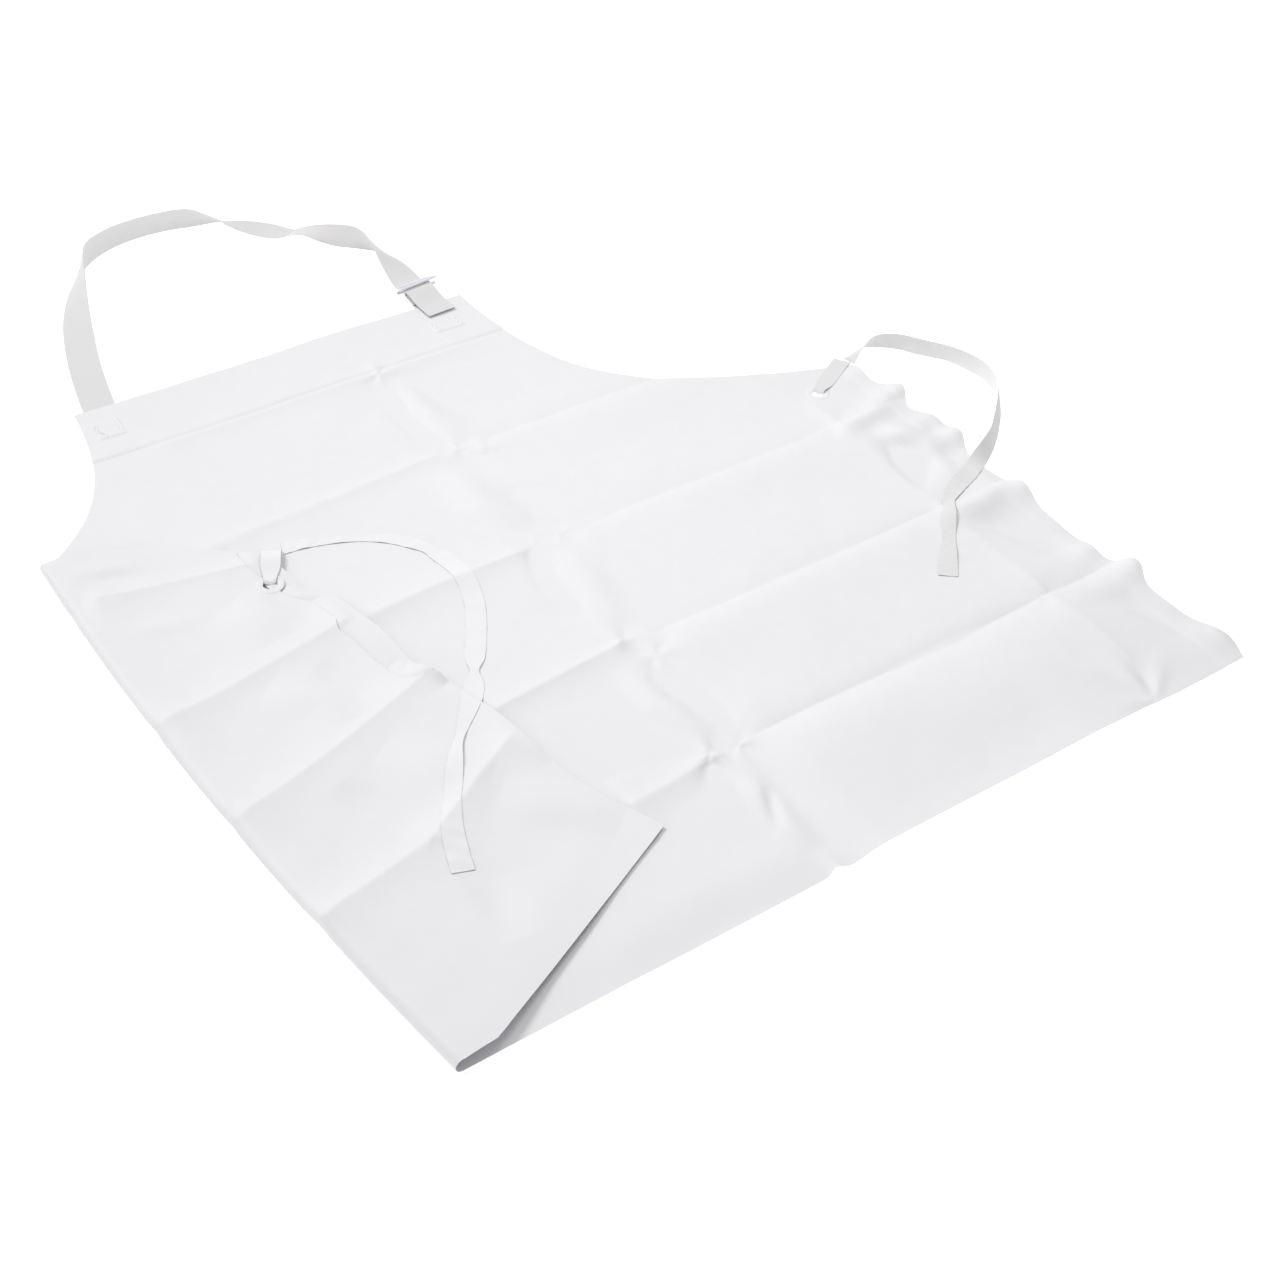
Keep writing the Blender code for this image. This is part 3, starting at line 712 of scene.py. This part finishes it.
def flap_share(x, y):
    """Share up the fold of the flap's own line that runs through a place on it."""
    t = np.linspace(0, 1, 400)
    x0, y0 = line_point(t, STRIP_TO)
    x1, y1 = inward(t, margin(t))
    off = (x1 - x0) * (np.asarray(y, float)[..., None] - y0)
    off = off - (y1 - y0) * (np.asarray(x, float)[..., None] - x0)
    return t[np.argmin(np.abs(off) / np.hypot(x1 - x0, y1 - y0), axis=-1)]


def flap_height_at(x, y):
    return upper_height(x, y, flap_share(x, y))


# --- hems and edge tapes ---
def edge_tape_left():
    """Tape along the flap's side: it shows beyond the cloth's edge, a little below it."""
    t = np.linspace(0.004, 0.996, 240)[:, None]
    w = np.linspace(0, 1, 9)[None, :]
    wide = np.maximum(margin(t) + 4, 20)
    inset = 5 * (1 - ease((t - 0.38) / 0.04))
    x, y = inward(t + 0 * w, wide * (1 - w) + inset)
    puff = np.abs(np.sin(t * 31)) ** 0.6 * np.sin(np.pi * np.clip(w * 1.15, 0, 1)) * (t > 0.42)
    under = over(top_height(x, y, t + 0 * w) - 2.4 + 2.2 * puff - 1.2 * (t < 0.42),
                 creased_ground(x, y) * mix(UNDER_FLAP, 0.9, ease((t - 0.4) / 0.04)) + 0.8, 0.5)
    return level_cloth("tape_left", x, y, under, 0.4)


def edge_tape_right():
    """Tape under the right-hand side, on the back of the cloth."""
    y = np.linspace(-HALF + 1, 84, 150)
    w = np.linspace(0, 1, 7)
    x = right_edge(y)[:, None] - 22 * (1 - w[None, :]) + 0.8 * w[None, :]
    y = y[:, None] + 0 * x
    z = np.maximum(creased_ground(x, y) - 0.55, 0.22)
    return level_cloth("tape_right", x, y, z, 0.4)


def bib_hem():
    """Turned hem along the bib's top, lying under the cloth up to its upper edge."""
    y = np.linspace(428, HALF + 0.6, 26)
    share = np.linspace(0, 1, 100)
    left, right = left_edge(y)[:, None] - 0.5, right_edge(y)[:, None] + 0.5
    x = mix(left, right, share[None, :])
    y = y[:, None] + 0 * x
    z = np.maximum(creased_ground(x, y) - 1.0, 0.3)
    return level_cloth("bib_turnup", x, y, z)


# --- straps and ties ---
def band_pattern(u, run, width):
    """Woven pattern's place on a band: across it, then along it."""
    return np.stack([u[None, :] * width + 0 * run[:, None], run[:, None] + 0 * u[None, :]], 2) * MM


def ribbon(name, route, width, thick, steps=8, across=9, crown=0.0, pinch=None, bed=None,
           crumple=0.0, seed=1):
    """Woven band along a route of (x, y, height, tilt) in mm.

    bed, if given, is the height of what lies beneath: the band's flat stretches settle on it
    and stand off it in small slanting folds, crumple mm high.
    """
    line = through(route, steps)
    centre, tilt = line[:, :3], np.radians(line[:, 3])
    travel = unit(np.gradient(centre, axis=0))
    flat_way = np.stack([-travel[:, 1], travel[:, 0], 0 * travel[:, 0]], 1)
    # where the band turns back over a rod its plan direction vanishes, so keep the last one
    for i in range(1, len(flat_way)):
        if np.linalg.norm(flat_way[i]) < 0.25 or flat_way[i] @ flat_way[i - 1] < 0:
            flat_way[i] = flat_way[i - 1]
        flat_way[i] /= np.linalg.norm(flat_way[i])
    flat_way[0] /= np.linalg.norm(flat_way[0])
    way = flat_way * np.cos(tilt)[:, None] + np.array((0, 0, 1)) * np.sin(tilt)[:, None]
    normal = unit(np.cross(travel, way))
    u = np.linspace(-0.5, 0.5, across)
    run = run_of(centre)
    wide = np.full(len(run), float(width))
    if pinch is not None:
        for at, span, share in pinch:
            wide *= 1 - (1 - share) * bell(run - at, span)
    points = (centre[:, None, :] - way[:, None, :] * (u[None, :, None] * wide[:, None, None])
              + normal[:, None, :] * (crown * (1 - (2 * u[None, :, None]) ** 2)))
    flat = band_pattern(u, run, width)
    facing = np.repeat(normal[:, None, :], across, 1)
    if bed is not None:
        slant = run[:, None] + 9 * u[None, :]
        low = bed(points[:, :, 0], points[:, :, 1]) + thick / 2 + 0.05
        low = low + crumple * np.abs(ripple(slant, 0 * slant, 26, seed, 4))
        settled = TIE_SETTLE * np.cos(tilt)[:, None] ** 8
        points[:, :, 2] = mix(points[:, :, 2], low, settled)
        facing, centre = grid_normals(points), points[:, across // 2]
    obj = cloth_object(name, points, facing, flat, thick)
    return obj, (centre * MM + np.array(middle)), run[-1] * MM


# --- materials ---
WAVE_SCALE = 0.314     # a wave texture's bands lie this far apart at scale 1


def nodes_of(name):
    mat = bpy.data.materials.new(name)
    mat.use_nodes = True
    tree = mat.node_tree
    shader = tree.nodes["Principled BSDF"]
    return mat, tree, shader


def add(tree, kind, **values):
    node = tree.nodes.new(kind)
    for key, value in values.items():
        if hasattr(node, key) and key not in node.inputs:
            setattr(node, key, value)
        else:
            node.inputs[key].default_value = value
    return node


def link(tree, source, output, target, socket):
    tree.links.new(source.outputs[output], target.inputs[socket])


def weave_bump(tree, shader, thread, strength, depth, unevenness, uneven_scale):
    """Plain weave of two crossed wave patterns over slow unevenness, as bump."""
    uv = add(tree, "ShaderNodeUVMap", uv_map="flat")
    waves = []
    for direction in ("X", "Y"):
        wave = add(tree, "ShaderNodeTexWave", wave_type="BANDS", bands_direction=direction,
                   Scale=WAVE_SCALE / thread, Distortion=0.4)
        link(tree, uv, 0, wave, "Vector")
        waves.append(wave)
    weave = add(tree, "ShaderNodeMath", operation="MULTIPLY")
    link(tree, waves[0], "Fac", weave, 0)
    link(tree, waves[1], "Fac", weave, 1)
    noise = add(tree, "ShaderNodeTexNoise", Scale=uneven_scale, Detail=4.0, Roughness=0.55)
    link(tree, uv, 0, noise, "Vector")
    fine = add(tree, "ShaderNodeBump", Strength=strength, Distance=depth)
    link(tree, weave, 0, fine, "Height")
    slow = add(tree, "ShaderNodeBump", Strength=unevenness, Distance=0.0006)
    link(tree, noise, "Fac", slow, "Height")
    link(tree, fine, "Normal", slow, "Normal")
    link(tree, slow, "Normal", shader, "Normal")
    return noise, weave


def vary(tree, shader, socket, driver, low, high, colour=False):
    """Ramp a texture between two values of one of the shader's inputs."""
    ramp = add(tree, "ShaderNodeValToRGB")
    stops = ramp.color_ramp.elements
    stops[0].position, stops[1].position = 0.3, 0.7
    stops[0].color = (*low, 1) if colour else (low, low, low, 1)
    stops[1].color = (*high, 1) if colour else (high, high, high, 1)
    tree.links.new(driver, ramp.inputs["Fac"])
    link(tree, ramp, "Color", shader, socket)


def shade(colour, share):
    return tuple(c * share for c in colour)


def coated_cloth(name, colour, rough, thread=0.0006, strength=0.12):
    """Waterproof-coated plain weave: smooth, a little glossy, slightly uneven."""
    mat, tree, shader = nodes_of(name)
    noise, _ = weave_bump(tree, shader, thread, strength, 0.0001, 0.05, 60.0)
    darker = shade(colour, 0.985)
    vary(tree, shader, "Base Color", noise.outputs["Fac"], darker, colour, colour=True)
    vary(tree, shader, "Roughness", noise.outputs["Fac"], rough - 0.04, rough + 0.04)
    shader.inputs["Specular IOR Level"].default_value = 0.35
    shader.inputs["Sheen Weight"].default_value = 0.05
    return mat


def woven_tape(name, colour, thread, strength=0.3):
    """Cotton or polyester webbing with a coarse visible weave, painted darker in its hollows."""
    mat, tree, shader = nodes_of(name)
    noise, weave = weave_bump(tree, shader, thread, strength, 0.00015, 0.15, 90.0)
    darker = shade(colour, 0.93)
    # painted shade: the colour is 7% darker where the weave's bump height is lowest, between the
    # threads
    vary(tree, shader, "Base Color", weave.outputs[0], darker, colour, colour=True)
    vary(tree, shader, "Roughness", noise.outputs["Fac"], 0.72, 0.9)
    shader.inputs["Sheen Weight"].default_value = 0.2
    return mat


def moulded_plastic(name, colour, rough):
    """Moulded nylon with faint surface grain."""
    mat, tree, shader = nodes_of(name)
    coords = add(tree, "ShaderNodeTexCoord")
    noise = add(tree, "ShaderNodeTexNoise", Scale=900.0, Detail=2.0)
    link(tree, coords, "Object", noise, "Vector")
    bump = add(tree, "ShaderNodeBump", Strength=0.08, Distance=0.0002)
    link(tree, noise, "Fac", bump, "Height")
    link(tree, bump, "Normal", shader, "Normal")
    vary(tree, shader, "Base Color", noise.outputs["Fac"],
         shade(colour, 0.97), colour, colour=True)
    vary(tree, shader, "Roughness", noise.outputs["Fac"], rough - 0.05, rough + 0.05)
    return mat


# --- pieces fixed to the cloth ---
def smoothed(values, window):
    kernel = np.hanning(window + 2)[1:-1]
    padded = np.concatenate([[values[0]] * (window // 2), values, [values[-1]] * (window // 2)])
    return np.convolve(padded, kernel / kernel.sum(), "valid")[:len(values)]


def base_under_right_tie(x, y):
    inside = ease((right_edge(y) + 6 - x) / 10) * (y < 116)
    return inside * (creased_ground(x, y) + 0.3)


def base_under_left_tie(x, y):
    # the side's own share of the fold at this height on the sheet
    t = np.interp(y, [s[2] for s in SIDE_STOPS], [s[0] for s in SIDE_STOPS])
    edge_x, _ = side_point(t)
    on_flap = ease((edge_x + 8 - x) / 12)
    return mix(creased_ground(x, y), flap_height_at(x, y) + 0.1, on_flap) + 0.3


def laid(route, base, wave, seed, twists):
    """A tie's route with its heights taken from what it lies on.

    twists is a list of (share of the length, tilt in degrees): how far its edge stands up.
    """
    line = through(route, 6)
    run = np.concatenate([[0], np.cumsum(np.hypot(*np.diff(line[:, :2], axis=0).T))])
    twist = through(twists, 6)
    line[:, 3] = np.interp(run / run[-1], twist[:, 0], twist[:, 1])
    height = base(line[:, 0], line[:, 1])
    height = np.maximum(height, smoothed(height, 9))
    lift = wave * (0.5 + 0.5 * ripple(run, run * 0, 70, seed, 3)).clip(0, 1.4)
    stand = TIE_WIDTH / MM / 2 * np.abs(np.sin(np.radians(line[:, 3])))
    line[:, 2] = smoothed(height, 7) + 0.4 + stand + lift
    line[:, 2] = np.maximum(line[:, 2], height + 0.35 + stand)
    return line


def tie_piece(name, route, base, wave, seed, twists, pinch, material):
    line = laid(route, base, wave, seed, twists)
    obj, path, length = ribbon(
        name, line, TIE_WIDTH / MM, 0.3, steps=1, crown=0.5, pinch=pinch, bed=base,
        crumple=wave, seed=seed)
    coat(material, obj)
    return obj, path, length


def tie_loop_piece(name, eyelet, edge, reach, top_of, under, material):
    """Tape from under the cloth, round its edge and back over it to the eyelet."""
    start, end = np.array(eyelet, float), np.array(edge, float)
    way = (end - start) / np.linalg.norm(end - start)
    stations = [(10, "under"), (reach * 0.5, "under"), (reach - 6, "under"),
                (reach - 0.5, "edge0"), (reach + 2.0, "edge1"), (reach - 0.5, "edge2")]
    stations += [(d, "top") for d in np.linspace(reach - 6, 7, 9)] + [(4.4, "in"), (2.2, "down")]
    route = []
    for distance, kind in stations:
        x, y = start + way * distance
        top = float(top_of(x, y))
        z = {"under": under, "edge0": under + 0.5, "edge1": mix(under, top, 0.5) + 0.4,
             "edge2": top + 0.8, "top": top + 1.0, "in": top + 0.2, "down": top - 1.4}[kind]
        route.append((x, y, z))
    line = through([(*p, 0) for p in route], 4)
    centre = line[:, :3]
    across_way = np.array((-way[1], way[0], 0.0))
    normal = unit(np.cross(unit(np.gradient(centre, axis=0)), across_way))
    run = run_of(centre)
    wide = mix(13, 22, ease((run[-1] - run) / 30))
    u = np.linspace(-0.5, 0.5, 9)
    points = centre[:, None] + across_way * (u[None, :, None] * wide[:, None, None])
    # the tape gathers into a trough as it enters the eyelet
    gather = 1 - ease((run[-1] - run) / 26)
    points[:, :, 2] += (2.4 * gather[:, None] * (2 * u[None, :]) ** 2)
    normals = np.repeat(normal[:, None], 9, 1)
    obj = cloth_object(name, points, normals, band_pattern(u, run, 22), 0.7)
    coat(material, obj)
    return obj


def eyelet_piece(name, at, top_of, material):
    """Flat welded ring round the hole, with a rounded inner lip."""
    profile = [(8.0, -0.9), (7.9, 0.0), (8.2, 0.4), (9.2, 0.55), (11, 0.5), (13.8, 0.4),
               (15.0, 0.15), (15.3, -0.2)]
    turns = np.linspace(0, 2 * math.pi, 65)
    points, flat = [], []
    for r, lift in profile:
        x, y = at[0] + r * np.cos(turns), at[1] + r * np.sin(turns)
        points.append(np.stack([x, y, top_of(x, y) + 0.25 + lift], 1))
        flat.append(np.stack([turns * 10, 0 * turns + r], 1))
    points, flat = np.array(points), np.array(flat) * MM
    n = grid_normals(points)
    n *= np.sign(n[3, 0, 2]) or 1
    obj = cloth_object(name, points, n, flat, 0.3)
    coat(material, obj)
    return obj


# Pressed grooves of the welded patches: chain from the patch's middle, and depth.
GROOVES_LEFT = [
    ([(-13, 11), (-14.5, 3), (-13, -4), (-8, -12)], 1.6), ([(12, 10), (13.5, 0), (11, -9)], 0.5)]
GROOVES_RIGHT = [([(-17, 8), (-18.5, 0), (-15, -8)], 1.3), ([(17, 8), (18.5, 0), (16, -8)], 1.3)]


def weld_piece(name, at, size, grooves, material):
    """Welded patch: a soft-edged raised square with pressed curved grooves."""
    w, d = size
    x, y = np.meshgrid(np.linspace(-w / 2 - 3, w / 2 + 3, 60), np.linspace(-d / 2 - 3, d / 2 + 3, 52))
    inside = np.minimum(w / 2 - np.abs(x), d / 2 - np.abs(y))
    z = creased_ground(x + at[0], y + at[1]) + 0.22 + 0.75 * ease((inside + 2.2) / 2.2)
    for points, depth in grooves:
        away, share = along(x, y, points)
        z = z - depth * bell(away, 1.1) * ease(share / 0.12) * ease((1 - share) / 0.12)
        z = z + depth * 0.35 * bell(np.abs(away) - 2.2, 1.0)
    points = np.stack([x + at[0], y + at[1], z], 2)
    obj = cloth_object(name, points, grid_normals(points), np.stack([x, y], 2) * MM, 0.3)
    coat(material, obj)
    return obj


# --- slide buckle ---
def tube(name, points, radii, closed=False, sides=14, flat_share=1.0):
    """Rounded bar along a chain of points in mm, with one radius or one for each point."""
    p = np.array(points, float)
    if closed:
        travel = np.roll(p, -1, 0) - np.roll(p, 1, 0)
    else:
        travel = np.gradient(p, axis=0)
    travel = unit(travel)
    side = unit(np.cross(travel, (0, 0, 1.0)))
    up = np.cross(side, travel)
    turns = np.linspace(0, 2 * math.pi, sides, endpoint=False)
    radii = np.zeros(len(p)) + radii
    ring = (p[:, None] + radii[:, None, None] * (
        side[:, None] * np.cos(turns)[None, :, None]
        + up[:, None] * np.sin(turns)[None, :, None] * flat_share))
    verts = ring.reshape(-1, 3) * MM + np.array(middle)
    faces = []
    count = len(p)
    for i in range(count if closed else count - 1):
        j = (i + 1) % count
        for k in range(sides):
            m = (k + 1) % sides
            faces.append((i * sides + k, i * sides + m, j * sides + m, j * sides + k))
    if not closed:
        faces += [tuple(range(sides))[::-1], tuple((count - 1) * sides + k for k in range(sides))]
    return mesh_object(name, verts, faces)


def rounded_loop(corners, radius, steps=7):
    """Closed chain through four corners, each turned with a small arc."""
    points = []
    corners = [np.array(c, float) for c in corners]
    for i, corner in enumerate(corners):
        before, after = corners[i - 1], corners[(i + 1) % len(corners)]
        a = corner + (before - corner) / np.linalg.norm(before - corner) * radius
        b = corner + (after - corner) / np.linalg.norm(after - corner) * radius
        for t in np.linspace(0, 1, steps):
            points.append(a * (1 - t) ** 2 + corner * 2 * t * (1 - t) + b * t**2)
        for t in np.linspace(0, 1, 8)[1:-1]:
            nxt = after + (corner - after) / np.linalg.norm(corner - after) * radius
            points.append(mix(b, nxt, t))
    return points


# The frame's corners: near left, near right, far right, far left.
FRAME_CORNERS = [(193.5, 566.0, 14.7), (250.5, 573.0, 15.0), (247.0, 588.0, 7.2), (194.0, 583.0, 7.0)]
FRAME_RADIUS = 2.3
ROD_Y, ROD_Z = 572.5, 6.75
# x and radius along the rod, which is thicker at its ends.
ROD_SHAPE = [
    (191.0, 1.0), (191.4, 1.9), (192.4, 2.3), (194.6, 2.1), (195.4, 1.4), (220, 1.4), (244.6, 1.4),
    (245.4, 2.1), (247.6, 2.3), (248.6, 1.9), (249.0, 1.0),
]


def slide_buckle(plastic, rod_material):
    loop = rounded_loop(FRAME_CORNERS, 3.5)
    outer = tube("buckle_slide", loop, FRAME_RADIUS, closed=True, flat_share=0.85)
    rod = tube("buckle_bar", [(x, ROD_Y, ROD_Z) for x, _ in ROD_SHAPE],
               np.array([radius for _, radius in ROD_SHAPE]), sides=20)
    for piece, material in ((outer, plastic), (rod, rod_material)):
        piece.data.materials.append(material)
        bevel = piece.modifiers.new("soften", "SUBSURF")
        bevel.levels = bevel.render_levels = 1
    return outer, rod


# --- floor and light ---
def floor():
    mesh = bpy.data.meshes.new("floor")
    size = 14.0
    mesh.from_pydata([(-size, -size, 0), (size, -size, 0), (size, size, 0), (-size, size, 0)],
                     [], [(0, 1, 2, 3)])
    obj = placed("floor", mesh)
    obj.location = (0, 0, -0.0004)
    mat, tree, shader = nodes_of("floor")
    noise = add(tree, "ShaderNodeTexNoise", Scale=3.0)
    vary(tree, shader, "Base Color", noise.outputs["Fac"], (0.95, 0.95, 0.95),
         (0.96, 0.96, 0.96), colour=True)
    shader.inputs["Roughness"].default_value = 0.9
    shader.inputs["Specular IOR Level"].default_value = 0.1
    shader.inputs["Emission Color"].default_value = (1.0, 1.0, 1.0, 1.0)
    shader.inputs["Emission Strength"].default_value = TABLE_GLOW
    mesh.materials.append(mat)


def softbox(name, at, size, power):
    data = bpy.data.lights.new(name, "AREA")
    data.shape, data.size, data.size_y = "RECTANGLE", size[0], size[1]
    data.energy = power
    obj = placed(name, data)
    obj.location = at
    obj.rotation_euler = Vector(at).to_track_quat("Z", "Y").to_euler()


def lighting():
    world = bpy.data.worlds.new("studio")
    world.use_nodes = True
    background = world.node_tree.nodes["Background"]
    background.inputs["Color"].default_value = (1.0, 1.0, 1.0, 1.0)
    background.inputs["Strength"].default_value = WORLD_LIGHT
    bpy.context.scene.world = world
    softbox("key", KEY_AT, KEY_SIZE, KEY_POWER)
    softbox("top", TOP_AT, TOP_SIZE, TOP_POWER)
    bpy.context.scene.view_settings.view_transform = "Standard"
    bpy.context.scene.view_settings.look = "None"
    bpy.context.scene.view_settings.exposure = EXPOSURE


# --- the whole apron ---
camera()
floor()
lighting()

face = coated_cloth("coated_face", CLOTH_WHITE, 0.56)
back = coated_cloth("coated_back", shade(CLOTH_WHITE, 0.995), 0.58, strength=0.06)
tape_cloth = coated_cloth("coated_tape", shade(CLOTH_WHITE, 0.99), 0.58)
patch_cloth = coated_cloth("welded_patch", CLOTH_WHITE, 0.52)
webbing = woven_tape("strap_webbing", WEB_WHITE, 0.0011)
tie_tape = woven_tape("tie_tape", TAPE_WHITE, 0.0009)
# painted shade: the right tie and its loop get the darker copy of the tie tape
tie_tape_painted_shade = woven_tape("tie_tape_painted_shade", TAPE_SHADED, 0.0009)
nylon = moulded_plastic("buckle_nylon", PLASTIC_WHITE, 0.30)
rod_nylon = moulded_plastic("rod_nylon", shade(PLASTIC_WHITE, 0.9), 0.25)

lower = lower_cloth()
fold, turn, flap = upper_cloth()
hem_left, hem_right, hem_bib = edge_tape_left(), edge_tape_right(), bib_hem()
coat(face, lower)
coat(back, fold, turn, flap)
coat(tape_cloth, hem_left, hem_right, hem_bib)

strap, _, _ = ribbon("strap_neck", NECK_ROUTE, STRAP_WIDTH / MM, 1.0, steps=6, across=11)
anchor, _, _ = ribbon("strap_anchor", ANCHOR_ROUTE, STRAP_WIDTH / MM, 1.0, steps=4, across=11)
coat(webbing, strap, anchor)

tie_right, right_path, right_length = tie_piece(
    "tie_right", TIE_RIGHT_ROUTE, base_under_right_tie, 0.8, 41, TIE_RIGHT_TWISTS,
    TIE_RIGHT_PINCHES, tie_tape_painted_shade)
tie_left, left_path, left_length = tie_piece(
    "tie_left", TIE_LEFT_ROUTE, base_under_left_tie, 0.6, 43, TIE_LEFT_TWISTS,
    TIE_LEFT_PINCHES, tie_tape)
loop_right = tie_loop_piece(
    "loop_right", EYELET_RIGHT, (604, 126), 82, creased_ground, 0.5, tie_tape_painted_shade)
loop_left = tie_loop_piece(
    "loop_left", EYELET_LEFT, (-158, 172), 56, flap_height_at, 2.2, tie_tape)
ring_right = eyelet_piece("ring_right", EYELET_RIGHT, creased_ground, patch_cloth)
ring_left = eyelet_piece("ring_left", EYELET_LEFT, flap_height_at, patch_cloth)
weld_left = weld_piece("weld_left", (-240, 484), (30, 32), GROOVES_LEFT, patch_cloth)
weld_right = weld_piece("weld_right", (217, 477), (38, 24), GROOVES_RIGHT, patch_cloth)
slide, bar = slide_buckle(nylon, rod_nylon)

for piece, node, slot in (
        (lower, "front_panel", "coated_cloth"), (fold, "fold_roll", "coated_cloth"),
        (flap, "flap_panel", "coated_cloth"), (turn, None, "coated_cloth"),
        (hem_bib, "bib_hem", "coated_cloth"), (hem_right, "side_tape_right", "coated_cloth"),
        (hem_left, "side_tape_left", "coated_cloth"), (strap, "neck_strap", "strap_webbing"),
        (anchor, "anchor_strap", "strap_webbing"), (tie_right, "waist_tie_right", "tie_tape"),
        (tie_left, "waist_tie_left", "tie_tape"), (loop_right, "tie_loop_right", "tie_tape"),
        (loop_left, "tie_loop_left", "tie_tape"), (ring_right, "eyelet_ring_right", "welded_patch"),
        (ring_left, "eyelet_ring_left", "welded_patch"), (weld_left, "strap_weld_left", "welded_patch"),
        (weld_right, "strap_weld_right", "welded_patch"), (slide, "buckle_frame", "buckle_plastic"),
        (bar, "buckle_rod", "buckle_rod")):
    if node:
        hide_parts(node)

for piece in (lower, fold, hem_right, hem_bib, strap, anchor, tie_right, loop_right,
              ring_right, weld_left, weld_right):
    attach(piece, "apron")
for piece in (flap, hem_left, ring_left, loop_left, tie_left):
    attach(piece, "turned_side")
for piece in (slide, bar):
    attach(piece, "buckle")
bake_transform(turn)
